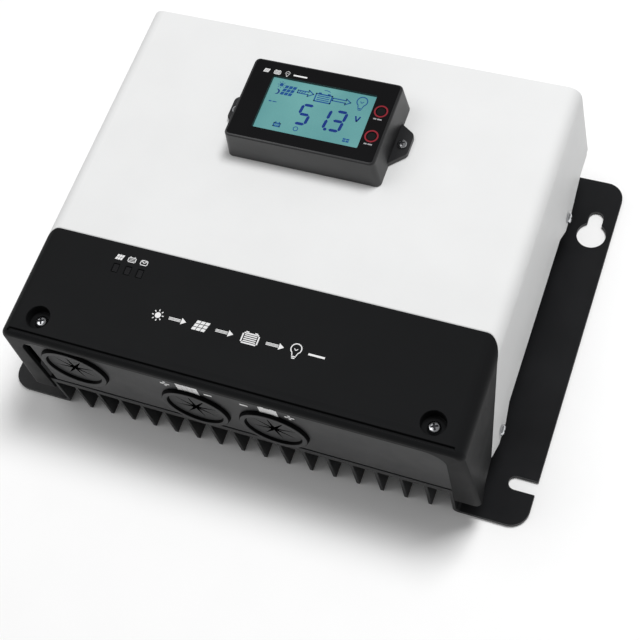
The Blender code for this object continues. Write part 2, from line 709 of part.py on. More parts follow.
def build_terminal_cover():
    rear = SEAM_TOP_DEPTH + 5 * MM
    cover = prism("terminal_cover", section_outline(0.0, LEG_Z), "Y",
                  y_at(FACE_DEPTH), y_at(rear), BLACK_PLASTIC)
    round_front_edges(cover, FACE_DEPTH, FACE_EDGE_RADIUS, LEG_Z)
    wide = OVERALL_WIDTH / 2
    foot = FACE_DEPTH + WALL + 0.5 * MM
    behind = in_world([(foot, LEG_Z - 5 * MM), (foot, LEG_Z), (10 * MM, 30 * MM)])
    behind += in_world(seam(0.0))
    behind += [(y_at(rear + 5 * MM), TOP_Z + 3 * MM), (y_at(rear + 5 * MM), LEG_Z - 5 * MM)]
    cut(cover, prism("terminal_rear_waste", behind, "X", -wide, wide, None, CUTTERS))
    cut(cover, prism("terminal_hollow", section_outline(WALL, LEG_Z - 5 * MM), "Y",
                     y_at(FACE_DEPTH + WALL), y_at(rear + 10 * MM), None, CUTTERS))
    cut(cover, prism("terminal_arch", arch_outline(0.0, LEG_Z - 8 * MM), "Y",
                     y_at(FACE_DEPTH - 5 * MM), y_at(FACE_DEPTH + WALL + 0.2 * MM),
                     None, CUTTERS))
    bosses = bmesh.new()
    for side in (-1, 1):
        x, y = side * POST_X, y_at(POST_DEPTH)
        add_cylinder(bosses, (x, y, BOSS_BOTTOM), (x, y, TOP_Z - 0.8 * MM),
                     COUNTERBORE_RADIUS + BOSS_WALL, 32)
    join(cover, from_bmesh("terminal_bosses", bosses, None, CUTTERS))
    holes = []
    for side in (-1, 1):
        x, y = side * POST_X, y_at(POST_DEPTH)
        holes.append(((x, y, TOP_Z + 2 * MM), (x, y, TOP_Z - COUNTERBORE_CUT),
                      COUNTERBORE_RADIUS))
    drill(cover, holes, 32)
    cover_pins = bmesh.new()
    for side in (-1, 1):
        x, y = side * POST_X, y_at(POST_DEPTH)
        add_cylinder(cover_pins, (x, y, BOSS_BOTTOM - 2 * MM),
                     (x, y, TOP_Z - COUNTERBORE_CUT + 1 * MM), POST_SCREW[2] + GAP, 20)
    cut(cover, from_bmesh("terminal_pin_holes", cover_pins, None, CUTTERS))
    details = bmesh.new()
    half_led = (LED_WIDTH / 2 + GAP, LED_LENGTH / 2 + GAP)
    for index in range(LED_COUNT):
        x = LED_X + (index - (LED_COUNT - 1) / 2) * LED_PITCH
        add_box(details, (x - half_led[0], y_at(LED_DEPTH) - half_led[1], TOP_Z - 5 * MM),
                (x + half_led[0], y_at(LED_DEPTH) + half_led[1], TOP_Z + 2 * MM))
    groove_half = half_width(TOP_Z) - BEND_RADIUS + GROOVE_OVERRUN
    add_box(details, (-groove_half, y_at(GROOVE_START), TOP_Z - GROOVE_CUT),
            (groove_half, y_at(GROOVE_START + GROOVE_WIDTH), TOP_Z + 2 * MM))
    cut(cover, from_bmesh("terminal_details", details, None, CUTTERS))
    return cover


# ---- gland panel and grommets -------------------------------------------

def build_gland_panel():
    panel = prism("gland_panel", arch_outline(PANEL_SIDE_GAP, PANEL_BOTTOM), "Y",
                  y_at(PANEL_DEPTH), y_at(PANEL_BACK), GREY_PLASTIC)
    slot_edge = -ARCH_HALF + PANEL_SLOT_WIDTH
    cut(panel, box("panel_slot", (-ARCH_HALF - 1 * MM, y_at(-5 * MM), 0.0),
                   (slot_edge, y_at(10 * MM), PANEL_SLOT_TOP), None, CUTTERS))
    foot_half = ARCH_HALF - PANEL_SLOT_WIDTH - 6 * MM
    foot_low = BASE_TOP + GAP
    join(panel, box("panel_foot", (-foot_half, y_at(PANEL_DEPTH + 0.8 * MM), foot_low),
                    (foot_half, y_at(PANEL_DEPTH + PANEL_FOOT), foot_low + 2 * MM),
                    None, CUTTERS))
    clear = bmesh.new()
    for side in (-1, 1):
        x, y = side * POST_X, y_at(POST_DEPTH)
        add_cylinder(clear, (x, y, 0.0), (x, y, TOP_Z), POST_RADIUS + 1 * MM, 24)
    cut(panel, from_bmesh("panel_post_clearance", clear, None, CUTTERS))
    holes = [((x, y_at(-5 * MM), BASE_TOP + rise),
              (x, y_at(PANEL_BACK + 2 * MM), BASE_TOP + rise), GROMMET_NECK + GAP)
             for _, x, rise in GROMMETS]
    drill(panel, holes, 32)
    pins = bmesh.new()
    for x in GLAND_SCREW_X:
        y = y_at(PANEL_DEPTH + PANEL_FOOT * 0.6)
        add_cylinder(pins, (x, y, BASE_TOP - 2 * MM), (x, y, foot_low + 5 * MM), 1.7 * MM, 16)
    cut(panel, from_bmesh("panel_pin_holes", pins, None, CUTTERS))
    return panel


def build_grommets():
    """Slit-membrane grommets turned about the axis that runs into the panel."""
    rim = FRONT_REACH
    face = rim - GROMMET_RECESS
    seat = GAP - PANEL_DEPTH
    back = -PANEL_BACK - GAP
    profile = [
        (0.0, face), (MEMBRANE_RADIUS - 0.6 * MM, face),
        (MEMBRANE_RADIUS, face + 0.6 * MM), (MEMBRANE_RADIUS + 0.4 * MM, rim),
        (GROMMET_RADIUS - 0.8 * MM, rim), (GROMMET_RADIUS, rim - 0.8 * MM),
        (GROMMET_RADIUS, seat), (GROMMET_NECK, seat),
        (GROMMET_NECK, back), (GROMMET_NECK + 1.6 * MM, back),
        (GROMMET_NECK + 1.0 * MM, back - 1.8 * MM),
        (MEMBRANE_RADIUS + 0.2 * MM, back - 1.8 * MM),
        (MEMBRANE_RADIUS - 0.4 * MM, face - MEMBRANE_THICKNESS),
        (0.0, face - MEMBRANE_THICKNESS),
    ]
    blank = turned("grommet_blank", profile, 32, RUBBER, CUTTERS)
    star = bmesh.new()
    for index in range(SLIT_COUNT):
        turn = Matrix.Rotation(math.pi * index / SLIT_COUNT, 4, "Z")
        size = Matrix.Diagonal((2 * SLIT_REACH, SLIT_WIDTH, 8 * MM, 1.0))
        bmesh.ops.create_cube(star, size=1.0, matrix=turn @ size)
        slit = from_bmesh(f"grommet_slit_{index + 1}", star, None, CUTTERS)
        cut(blank, slit)
        star = bmesh.new()
    star.free()
    mesh = evaluated_mesh(blank, flatten=False)
    mesh.materials.clear()
    mesh.materials.append(RUBBER)
    facing = Matrix.Rotation(math.radians(90), 4, "X")
    for name, x, rise in GROMMETS:
        grommet = add_object(name, mesh)
        grommet.matrix_world = Matrix.Translation((x, y_at(0.0), BASE_TOP + rise)) @ facing
        smooth(grommet)
    for guide in [blank] + [bpy.data.objects[f"grommet_slit_{i + 1}"]
                            for i in range(SLIT_COUNT)]:
        bpy.data.objects.remove(guide, do_unlink=True)


# ---- fixings, posts and light pipes -------------------------------------

def build_fixings():
    side_mesh = screw_mesh("side_screw", SIDE_SCREW)
    for name, seat, outward in side_screw_seats():
        place_screw(name, side_mesh, seat, outward)
    post_mesh = screw_mesh("post_screw", POST_SCREW)
    small_mesh = screw_mesh("small_screw", SMALL_SCREW)
    board_mesh = screw_mesh("board_screw", BOARD_SCREW, recess=False)
    clamp_mesh = screw_mesh("clamp_screw", CLAMP_SCREW, recess=False)
    foot_top = BASE_TOP + GAP + 2 * MM
    for tag, side in (("left", -1), ("right", 1)):
        x, y = side * POST_X, y_at(POST_DEPTH)
        place_screw(f"terminal_cover_screw_{tag}", post_mesh,
                    (x, y, TOP_Z - COUNTERBORE_CUT + GAP))
        build_post(f"terminal_cover_post_{tag}", x, y)
        place_screw(f"meter_screw_{tag}", small_mesh,
                    (METER_X + side * EAR_SCREW, y_at(METER_DEPTH),
                     METER_BOTTOM + EAR_THICKNESS + GAP))
    for name, x, depth in standoff_places():
        y = y_at(depth)
        build_standoff("pcb_standoff_" + name, x, y)
        place_screw("pcb_screw_" + name, board_mesh, (x, y, BOARD_TOP + GAP))
    bar_top = BASE_TOP + 2 * GAP + PAD_THICKNESS + MOSFET_SIZE[2] + GAP + BAR_SIZE[2]
    for tag, (x, depth) in zip(("left", "right"), clamp_places()):
        place_screw("clamp_screw_" + tag, clamp_mesh, (x, y_at(depth), bar_top + GAP))
    for tag, x in zip(("left", "right"), GLAND_SCREW_X):
        y = y_at(PANEL_DEPTH + PANEL_FOOT * 0.6)
        place_screw("gland_screw_" + tag, board_mesh, (x, y, foot_top + GAP))


def build_post(name, x, y):
    """Round metal post between the heat sink and the wiring cover's boss."""
    top = BOSS_BOTTOM - GAP
    bore = POST_SCREW[2] + GAP
    floor = TOP_Z - COUNTERBORE_CUT - POST_SCREW[3] - 1.5 * MM
    profile = [
        (0.0, floor), (bore, floor), (bore, top), (POST_RADIUS, top),
        (POST_RADIUS, BASE_TOP + GAP), (1.9 * MM, BASE_TOP + GAP),
        (1.9 * MM, BASE_TOP - 4.0 * MM), (0.0, BASE_TOP - 4.0 * MM),
    ]
    post = turned(name, profile, 12, ALUMINIUM)
    post.location = (x, y, 0.0)
    smooth(post)


def build_standoff(name, x, y):
    """Threaded spacer under the power board, with a stud into the base plate."""
    top = BOARD_BOTTOM - GAP
    bore = BOARD_SCREW[2] + GAP
    floor = BOARD_TOP - BOARD_SCREW[3] - 1.0 * MM
    profile = [
        (0.0, floor), (bore, floor), (bore, top), (STANDOFF_RADIUS, top),
        (STANDOFF_RADIUS, BASE_TOP + GAP), (1.5 * MM, BASE_TOP + GAP),
        (1.5 * MM, BASE_TOP - 4.0 * MM), (0.0, BASE_TOP - 4.0 * MM),
    ]
    standoff = turned(name, profile, 8, BRASS)
    standoff.location = (x, y, 0.0)
    smooth(standoff)


def build_light_pipes():
    for index in range(LED_COUNT):
        x = LED_X + (index - (LED_COUNT - 1) / 2) * LED_PITCH
        low = (x - LED_WIDTH / 2, y_at(LED_DEPTH) - LED_LENGTH / 2, BOARD_TOP + GAP)
        high = (x + LED_WIDTH / 2, y_at(LED_DEPTH) + LED_LENGTH / 2, TOP_Z - 0.4 * MM)
        box(f"led_light_pipe_{index + 1}", low, high, SMOKED)


# ---- power board --------------------------------------------------------

def build_power_board():
    board = box("main_pcb", (-BOARD_HALF, y_at(BOARD_FRONT), BOARD_BOTTOM),
                (BOARD_HALF, y_at(BOARD_REAR), BOARD_TOP), BOARD_GREEN)
    drill(board, [((x, y_at(depth), BOARD_BOTTOM - 2 * MM), (x, y_at(depth), BOARD_TOP + 2 * MM),
                   BOARD_SCREW[2] + GAP) for _, x, depth in standoff_places()], 16)
    seat = BOARD_TOP + GAP
    build_terminal_block(seat)
    for tag, side in (("left", -1), ("right", 1)):
        profile = [
            (INDUCTOR_BORE, seat + INDUCTOR_HEIGHT - 3 * MM),
            (INDUCTOR_BORE + 3 * MM, seat + INDUCTOR_HEIGHT),
            (INDUCTOR_RADIUS - 3 * MM, seat + INDUCTOR_HEIGHT),
            (INDUCTOR_RADIUS, seat + INDUCTOR_HEIGHT - 3 * MM),
            (INDUCTOR_RADIUS, seat + 3 * MM), (INDUCTOR_RADIUS - 3 * MM, seat),
            (INDUCTOR_BORE + 3 * MM, seat), (INDUCTOR_BORE, seat + 3 * MM),
            (INDUCTOR_BORE, seat + INDUCTOR_HEIGHT - 3 * MM),
        ]
        inductor = turned("power_inductor_" + tag, profile, 24, COPPER)
        inductor.location = (side * INDUCTOR_X, y_at(INDUCTOR_DEPTH), 0.0)
        smooth(inductor)
    for index in range(CAPACITOR_COUNT):
        top = seat + CAPACITOR_HEIGHT
        profile = [
            (0.0, top), (CAPACITOR_RADIUS - 1 * MM, top), (CAPACITOR_RADIUS, top - 1 * MM),
            (CAPACITOR_RADIUS, seat), (0.0, seat),
        ]
        capacitor = turned(f"bulk_capacitor_{index + 1}", profile, 16, CAPACITOR_BLUE)
        x = (index - (CAPACITOR_COUNT - 1) / 2) * CAPACITOR_PITCH
        capacitor.location = (x, y_at(CAPACITOR_DEPTH), 0.0)
        smooth(capacitor)


def terminal_cells():
    first = TERMINAL_X - TERMINAL_PITCH * (TERMINAL_COUNT - 1) / 2
    return [first + index * TERMINAL_PITCH for index in range(TERMINAL_COUNT)]


def build_terminal_block(seat):
    width, depth, height = TERMINAL_SIZE
    front, top = TERMINAL_FRONT, seat + height
    block = box("terminal_block", (TERMINAL_X - width / 2, y_at(front), seat),
                (TERMINAL_X + width / 2, y_at(front + depth), top), TERMINAL_GREEN)
    screw_y = y_at(front + depth * 0.5)
    entry_z = seat + height * 0.35
    wells, entries = [], []
    for x in terminal_cells():
        wells.append(((x, screw_y, entry_z), (x, screw_y, top + 2 * MM), TERMINAL_WELL))
        entries.append(((x, y_at(front - 2 * MM), entry_z), (x, y_at(front + depth * 0.8), entry_z),
                        TERMINAL_ENTRY))
    drill(block, wells, 14)
    bores = bmesh.new()
    for start, end, radius in entries:
        add_cylinder(bores, start, end, radius, 14)
    cut(block, from_bmesh("terminal_entries", bores, None, CUTTERS))
    mesh = screw_mesh("terminal_screw", TERMINAL_SCREW, recess=False)
    for index, x in enumerate(terminal_cells()):
        place_screw(f"terminal_screw_{index + 1}", mesh,
                    (x, screw_y, top - TERMINAL_SCREW[1] - 2 * MM))


def build_power_stage():
    pad_low = BASE_TOP + GAP
    width, depth, height = MOSFET_SIZE
    pad_half = BAR_SIZE[0] / 2
    pad_y = (y_at(MOSFET_DEPTH - depth / 2 - 1 * MM), y_at(MOSFET_DEPTH + depth / 2 + 1 * MM))
    pad = box("thermal_pad", (-pad_half, pad_y[0], pad_low),
              (pad_half, pad_y[1], pad_low + PAD_THICKNESS), PAD_GREY)
    holes = [((x, y_at(d), pad_low - 2 * MM), (x, y_at(d), pad_low + 3 * MM), 2.2 * MM)
             for x, d in clamp_places()]
    drill(pad, holes, 16)
    case_low = pad_low + PAD_THICKNESS + GAP
    case_top = case_low + height
    for index in range(MOSFET_COUNT):
        x = (index - (MOSFET_COUNT - 1) / 2) * MOSFET_PITCH
        front = y_at(MOSFET_DEPTH - depth / 2)
        case = box(f"mosfet_{index + 1}", (x - width / 2, front, case_low),
                   (x + width / 2, y_at(MOSFET_DEPTH + depth / 2), case_top), BLACK_PLASTIC)
        legs = bmesh.new()
        leg_z = case_low + height / 2
        for step in (-1, 0, 1):
            middle = x + step * LEG_SPREAD
            add_box(legs, (middle - LEG_SIZE[0] / 2, front - LEG_SIZE[1], leg_z),
                    (middle + LEG_SIZE[0] / 2, front + 1 * MM, leg_z + LEG_SIZE[2]))
        join(case, from_bmesh(f"mosfet_{index + 1}_legs", legs, None, CUTTERS))
    bar_low = case_top + GAP
    bar_y = (y_at(MOSFET_DEPTH) - BAR_SIZE[1] / 2, y_at(MOSFET_DEPTH) + BAR_SIZE[1] / 2)
    bar = box("clamp_bar", (-BAR_SIZE[0] / 2, bar_y[0], bar_low),
              (BAR_SIZE[0] / 2, bar_y[1], bar_low + BAR_SIZE[2]), STEEL)
    drill(bar, [((x, y_at(d), bar_low - 2 * MM), (x, y_at(d), bar_low + 6 * MM),
                 CLAMP_SCREW[2] + GAP) for x, d in clamp_places()], 16)


# ---- remote meter -------------------------------------------------------

def tapered_box(name, bottom, top, low, high, corner, edge, material=None,
                collection=PARTS):
    """A box that narrows upward, with rounded uprights and a rounded top edge."""
    centre = Vector((METER_X, y_at(METER_DEPTH), 0.0))
    bm = bmesh.new()
    bmesh.ops.create_cube(bm, size=1.0)
    for vert in bm.verts:
        size = top if vert.co.z > 0 else bottom
        height = high if vert.co.z > 0 else low
        vert.co = Vector((vert.co.x * size[0], vert.co.y * size[1], height)) + centre
    if corner > 0:
        uprights = [e for e in bm.edges if abs(e.verts[0].co.z - e.verts[1].co.z) > 1 * MM]
        bmesh.ops.bevel(bm, geom=uprights, offset=corner, segments=4, profile=0.5,
                        affect="EDGES")
    if edge > 0:
        rim = [e for e in bm.edges if all(v.co.z > high - 0.01 * MM for v in e.verts)]
        bmesh.ops.bevel(bm, geom=rim, offset=edge, segments=2, profile=0.5,
                        affect="EDGES")
    return from_bmesh(name, bm, material, collection)


def ear_outline(side):
    """(x, y) outline of one fixing ear, rooted inside the case wall."""
    x0 = METER_X
    y0 = y_at(METER_DEPTH)
    root = METER_BASE[0] / 2 - METER_WALL - 0.5 * MM
    corner = 3.5 * MM
    tip_x = EAR_REACH - corner
    half = [(root, -EAR_ROOT), (METER_BASE[0] / 2, -EAR_ROOT)]
    half += arc((tip_x, corner - EAR_TIP), corner, -55, 0, 4)
    half += arc((tip_x, EAR_TIP_REAR - corner), corner, 0, 55, 4)
    half += [(METER_BASE[0] / 2, EAR_ROOT), (root, EAR_ROOT)]
    points = [(x0 + side * x, y0 + y) for x, y in half]
    return points if side > 0 else list(reversed(points))


def shrunk(size, amount):
    return (size[0] - 2 * amount, size[1] - 2 * amount)


def button_places():
    x = METER_X + BUTTON_X
    middle = METER_DEPTH + BUTTON_OFFSET
    return [("lower", x, y_at(middle - BUTTON_HALF_PITCH)),
            ("upper", x, y_at(middle + BUTTON_HALF_PITCH))]


def build_meter_case():
    case = tapered_box("meter_case", METER_BASE, METER_TOP, METER_BOTTOM, METER_TOP_Z,
                       METER_CORNER, 1.0 * MM, BLACK_PLASTIC)
    for side in (-1, 1):
        tag = "left" if side < 0 else "right"
        join(case, prism("meter_ear_" + tag, ear_outline(side), "Z", METER_BOTTOM,
                         METER_BOTTOM + EAR_THICKNESS, None, CUTTERS))
    cut(case, tapered_box("meter_hollow", shrunk(METER_BASE, METER_WALL),
                          shrunk(METER_TOP, METER_WALL), METER_BOTTOM - 0.5 * MM,
                          METER_CEILING, 1.5 * MM, 0.0, None, CUTTERS))
    x = METER_X + WINDOW_OFFSET[0]
    y = y_at(METER_DEPTH) + WINDOW_OFFSET[1]
    half = (WINDOW_SIZE[0] / 2, WINDOW_SIZE[1] / 2)
    cut(case, box("meter_window", (x - half[0], y - half[1], METER_CEILING - 2 * MM),
                  (x + half[0], y + half[1], METER_TOP_Z + 2 * MM), None, CUTTERS))
    holes = [((bx, by, METER_CEILING - 2 * MM), (bx, by, METER_TOP_Z + 2 * MM),
              BUTTON_RADIUS + GAP) for _, bx, by in button_places()]
    for side in (-1, 1):
        sx = METER_X + side * EAR_SCREW
        holes.append(((sx, y_at(METER_DEPTH), METER_BOTTOM - 2 * MM),
                      (sx, y_at(METER_DEPTH), METER_BOTTOM + EAR_THICKNESS + 2 * MM),
                      SMALL_SCREW[2] + GAP))
    drill(case, holes, 24)
    return case


def build_meter_inside():
    x = METER_X + WINDOW_OFFSET[0]
    y = y_at(METER_DEPTH) + WINDOW_OFFSET[1]
    lens_top = METER_TOP_Z - LENS_SINK
    lcd_top = lens_top - LENS_THICKNESS - GAP
    half = (WINDOW_SIZE[0] / 2 - GAP, WINDOW_SIZE[1] / 2 - GAP)
    box("meter_lens", (x - half[0], y - half[1], lens_top - LENS_THICKNESS),
        (x + half[0], y + half[1], lens_top), CLEAR)
    lcd_low = lcd_top - LCD_THICKNESS
    box("meter_lcd", (x - half[0], y - half[1], lcd_low),
        (x + half[0], y + half[1], lcd_top), LCD_TEAL)
    board_top = lcd_low - GAP
    inner = shrunk(METER_TOP, METER_WALL + GAP)
    y0 = y_at(METER_DEPTH)
    pcb_low = board_top - BOARD_THICKNESS
    box("meter_pcb", (METER_X - inner[0] / 2, y0 - inner[1] / 2, pcb_low),
        (METER_X + inner[0] / 2, y0 + inner[1] / 2, board_top), BOARD_GREEN)
    for tag, bx, by in button_places():
        low = board_top + GAP
        box("meter_switch_" + tag, (bx - SWITCH_SIZE[0] / 2, by - SWITCH_SIZE[1] / 2, low),
            (bx + SWITCH_SIZE[0] / 2, by + SWITCH_SIZE[1] / 2, low + SWITCH_SIZE[2]),
            STEEL)
        stem_low = low + SWITCH_SIZE[2] + BUTTON_TRAVEL + GAP
        build_button("meter_button_" + tag, bx, by, stem_low)
    back = tapered_box("meter_back", shrunk(METER_BASE, METER_WALL + GAP + 0.3 * MM),
                       shrunk(METER_BASE, METER_WALL + GAP + 0.4 * MM),
                       METER_BOTTOM, METER_BOTTOM + 1.5 * MM, 1.8 * MM, 0.0,
                       BLACK_PLASTIC)
    drill(back, [((METER_X, y0, METER_BOTTOM - 2 * MM), (METER_X, y0, METER_BOTTOM + 4 * MM),
                  METER_CABLE_RADIUS + 1.2 * MM)], 20)
    build_meter_cable(pcb_low)


def build_button(name, x, y, stem_low):
    """Round key with a retaining flange; its origin is on the press axis."""
    flange_top = METER_CEILING - GAP
    top = METER_TOP_Z + 0.1 * MM
    profile = [
        (0.0, top), (BUTTON_RADIUS - 0.4 * MM, top), (BUTTON_RADIUS, top - 0.3 * MM),
        (BUTTON_RADIUS, flange_top), (BUTTON_FLANGE, flange_top),
        (BUTTON_FLANGE, flange_top - 1.2 * MM), (1.6 * MM, flange_top - 1.2 * MM),
        (1.6 * MM, stem_low), (0.0, stem_low),
    ]
    local = [(radius, z - METER_TOP_Z) for radius, z in profile]
    button = turned(name, local, 20, BLACK_PLASTIC)
    button.location = (x, y, METER_TOP_Z)
    smooth(button)


def build_meter_cable(pcb_low):
    """Round lead from the meter's board down to the power board."""
    start = Vector((METER_X, y_at(METER_DEPTH), pcb_low - GAP))
    end = Vector((METER_X, y_at(METER_DEPTH - 14 * MM), BOARD_TOP + GAP))
    straight = 10 * MM
    steps = 16
    points = []
    for index in range(steps + 1):
        share = index / steps
        z = start.z + (end.z - start.z) * share
        middle = (share * (start.z - end.z) - straight) / (start.z - end.z - 2 * straight)
        ease = min(max(middle, 0.0), 1.0)
        blend = ease * ease * (3 - 2 * ease)
        points.append((start.x, start.y + (end.y - start.y) * blend, z))
    curve = bpy.data.curves.new("meter_cable_route", "CURVE")
    curve.dimensions = "3D"
    curve.bevel_depth = METER_CABLE_RADIUS
    curve.bevel_resolution = 2
    curve.use_fill_caps = True
    spline = curve.splines.new("POLY")
    spline.points.add(len(points) - 1)
    for point, place in zip(spline.points, points):
        point.co = (*place, 1.0)
    guide = bpy.data.objects.new("meter_cable_guide", curve)
    CUTTERS.objects.link(guide)
    mesh = evaluated_mesh(guide, flatten=False)
    bpy.data.objects.remove(guide, do_unlink=True)
    bpy.data.curves.remove(curve)
    cable = add_object("meter_cable", mesh, BLACK_PLASTIC)
    smooth(cable)


def main():
    build_heat_sink()
    build_housing_cover()
    build_terminal_cover()
    build_gland_panel()
    build_grommets()
    build_fixings()
    build_light_pipes()
    build_power_board()
    build_power_stage()
    build_meter_case()
    build_meter_inside()


main()
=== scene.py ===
"""Looks of the charge controller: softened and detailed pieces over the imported
frame, procedural materials, printed marks, the display, and the studio.

Lengths are metres in the frame's own axes: +X along the row of grommets, +Y
from the grommet end to the rear, +Z out through the covers.
"""

import json
import math

import bmesh
import bpy
from mathutils import Matrix, Vector

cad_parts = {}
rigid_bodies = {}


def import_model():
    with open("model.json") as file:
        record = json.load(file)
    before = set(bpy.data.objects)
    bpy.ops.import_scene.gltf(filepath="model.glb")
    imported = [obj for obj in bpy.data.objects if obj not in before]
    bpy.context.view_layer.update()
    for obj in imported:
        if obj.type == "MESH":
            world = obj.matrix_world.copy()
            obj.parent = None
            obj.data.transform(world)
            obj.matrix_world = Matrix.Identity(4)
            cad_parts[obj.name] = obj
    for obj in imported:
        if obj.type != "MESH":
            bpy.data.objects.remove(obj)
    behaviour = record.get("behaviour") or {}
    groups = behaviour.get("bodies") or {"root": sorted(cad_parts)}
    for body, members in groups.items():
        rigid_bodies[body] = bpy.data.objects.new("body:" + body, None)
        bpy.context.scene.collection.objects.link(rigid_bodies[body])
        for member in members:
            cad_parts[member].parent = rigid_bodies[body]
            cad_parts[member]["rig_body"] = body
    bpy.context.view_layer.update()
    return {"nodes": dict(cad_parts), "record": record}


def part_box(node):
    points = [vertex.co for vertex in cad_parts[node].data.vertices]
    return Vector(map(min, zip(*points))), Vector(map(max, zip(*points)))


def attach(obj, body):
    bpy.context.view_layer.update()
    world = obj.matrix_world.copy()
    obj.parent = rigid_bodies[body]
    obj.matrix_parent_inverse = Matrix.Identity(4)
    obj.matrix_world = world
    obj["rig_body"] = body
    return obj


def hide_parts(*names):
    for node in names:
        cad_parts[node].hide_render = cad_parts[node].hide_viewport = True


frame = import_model()
NODES = frame["nodes"]
SLOTS = {part["node"]: part["material_slot"]
         for part in frame["record"]["subparts"]}
MM = 0.001

SOFTEN_ANGLE = math.radians(28)      # edges sharper than this are rounded
LATHE_ANGLE = math.radians(32)       # and on turned pieces stay crisp
SIDE_TAPER = 0.0783                  # the covers' sides lean in by this much per height
PRINT_THICKNESS = 0.03 * MM
PRINT_LIFT = 0.005 * MM              # under a print, so that it never touches its ground
LABEL_THICKNESS = 0.09 * MM
WINDOW_GAP = 0.3 * MM                # between the meter's lens and its overlay
KEY_HOLE_RADIUS = 2.95 * MM          # in the overlay, round each key


# ---- materials ----------------------------------------------------------

def new_material(name, colour, roughness, metallic=0.0, specular=0.5):
    """A Principled material, its shader, node tree and object coordinates."""
    material = bpy.data.materials.new(name)
    material.use_nodes = True
    tree = material.node_tree
    shader = tree.nodes["Principled BSDF"]
    shader.inputs["Base Color"].default_value = (*colour, 1.0)
    shader.inputs["Roughness"].default_value = roughness
    shader.inputs["Metallic"].default_value = metallic
    shader.inputs["Specular IOR Level"].default_value = specular
    place = tree.nodes.new("ShaderNodeTexCoord")
    return material, shader, tree, place.outputs["Object"]


def noise(tree, coordinates, scale, detail=2.0, stretch=(1.0, 1.0, 1.0)):
    """Noise over object coordinates; stretch scales each axis first."""
    mapping = tree.nodes.new("ShaderNodeMapping")
    mapping.inputs["Scale"].default_value = stretch
    tree.links.new(coordinates, mapping.inputs["Vector"])
    texture = tree.nodes.new("ShaderNodeTexNoise")
    texture.inputs["Scale"].default_value = scale
    texture.inputs["Detail"].default_value = detail
    tree.links.new(mapping.outputs["Vector"], texture.inputs["Vector"])
    return texture.outputs["Fac"]


def spread(tree, value, low, high, start=0.35, end=0.65):
    """Map a 0..1 value to low..high."""
    ranged = tree.nodes.new("ShaderNodeMapRange")
    ranged.inputs["From Min"].default_value = start
    ranged.inputs["From Max"].default_value = end
    ranged.inputs["To Min"].default_value = low
    ranged.inputs["To Max"].default_value = high
    tree.links.new(value, ranged.inputs["Value"])
    return ranged.outputs["Result"]


def tint(tree, factor, first, second):
    """Mix two colours by a factor."""
    mix = tree.nodes.new("ShaderNodeMix")
    mix.data_type = "RGBA"
    mix.inputs["A"].default_value = (*first, 1.0)
    mix.inputs["B"].default_value = (*second, 1.0)
    tree.links.new(factor, mix.inputs["Factor"])
    return mix.outputs["Result"]


def scaled(colour, factor):
    """A colour made lighter or darker, each channel kept to 1."""
    return tuple(min(1.0, channel * factor) for channel in colour)


def add_bump(tree, shader, height, distance, under=None):
    """Bump from a height, over an earlier bump if one is given."""
    bump = tree.nodes.new("ShaderNodeBump")
    bump.inputs["Distance"].default_value = distance
    bump.inputs["Strength"].default_value = 1.0
    tree.links.new(height, bump.inputs["Height"])
    if under is not None:
        tree.links.new(under, bump.inputs["Normal"])
    tree.links.new(bump.outputs["Normal"], shader.inputs["Normal"])
    return bump.outputs["Normal"]


def textured(name, colour, roughness, metallic=0.0, specular=0.5, grain=900.0,
             depth=0.02 * MM, mottle=0.06, polish=0.03, stretch=(1.0, 1.0, 1.0)):
    """A finish with fine grain, faint mottling and uneven polish."""
    material, shader, tree, where = new_material(name, colour, roughness, metallic,
                                                 specular)
    cloudy = spread(tree, noise(tree, where, 28.0, 4.0), 0.0, 1.0)
    base = tint(tree, cloudy, scaled(colour, 1.0 - mottle), scaled(colour, 1.0 + mottle))
    tree.links.new(base, shader.inputs["Base Color"])
    worn = noise(tree, where, 60.0, 5.0, stretch)
    tree.links.new(spread(tree, worn, max(0.02, roughness - polish), roughness + polish),
                   shader.inputs["Roughness"])
    add_bump(tree, shader, noise(tree, where, grain, 3.0, stretch), depth)
    return material


def powder_coat():
    """White powder coat: fine orange peel over a faint cloudiness."""
    return textured("white_powder_coat", (0.70, 0.704, 0.704), 0.45, specular=0.3,
                    grain=700.0, depth=0.03 * MM, mottle=0.012, polish=0.05)


def anodised():
    """Black extruded aluminium: drawn lines along Y, and end faces painted paler as a
    highlight.
    """
    colour, lit_end_colour = (0.0105, 0.0108, 0.0118), (0.012, 0.0122, 0.013)
    material, shader, tree, where = new_material("black_anodised", colour, 0.42, 0.0, 0.3)
    surface = tree.nodes.new("ShaderNodeTexCoord")
    parts = tree.nodes.new("ShaderNodeSeparateXYZ")
    tree.links.new(surface.outputs["Normal"], parts.inputs["Vector"])
    facing = tree.nodes.new("ShaderNodeMath")
    facing.operation = "ABSOLUTE"
    tree.links.new(parts.outputs["Y"], facing.inputs[0])
    # faces turned along ±Y get a paler colour: a painted highlight on the end faces
    ends = spread(tree, facing.outputs["Value"], 0.0, 1.0, 0.7, 0.95)
    cloudy = spread(tree, noise(tree, where, 22.0, 4.0), 0.0, 1.0)
    skin = tree.nodes.new("ShaderNodeMix")
    skin.data_type = "RGBA"
    tree.links.new(ends, skin.inputs["Factor"])
    tree.links.new(tint(tree, cloudy, scaled(colour, 0.85), scaled(colour, 1.2)),
                   skin.inputs["A"])
    skin.inputs["B"].default_value = (*lit_end_colour, 1.0)
    tree.links.new(skin.outputs["Result"], shader.inputs["Base Color"])
    lines = noise(tree, where, 900.0, 3.0, (1.0, 0.02, 1.0))
    tree.links.new(spread(tree, lines, 0.42, 0.48), shader.inputs["Roughness"])
    fine = add_bump(tree, shader, lines, 0.006 * MM)
    add_bump(tree, shader, noise(tree, where, 1400.0, 2.0), 0.01 * MM, under=fine)
    return material


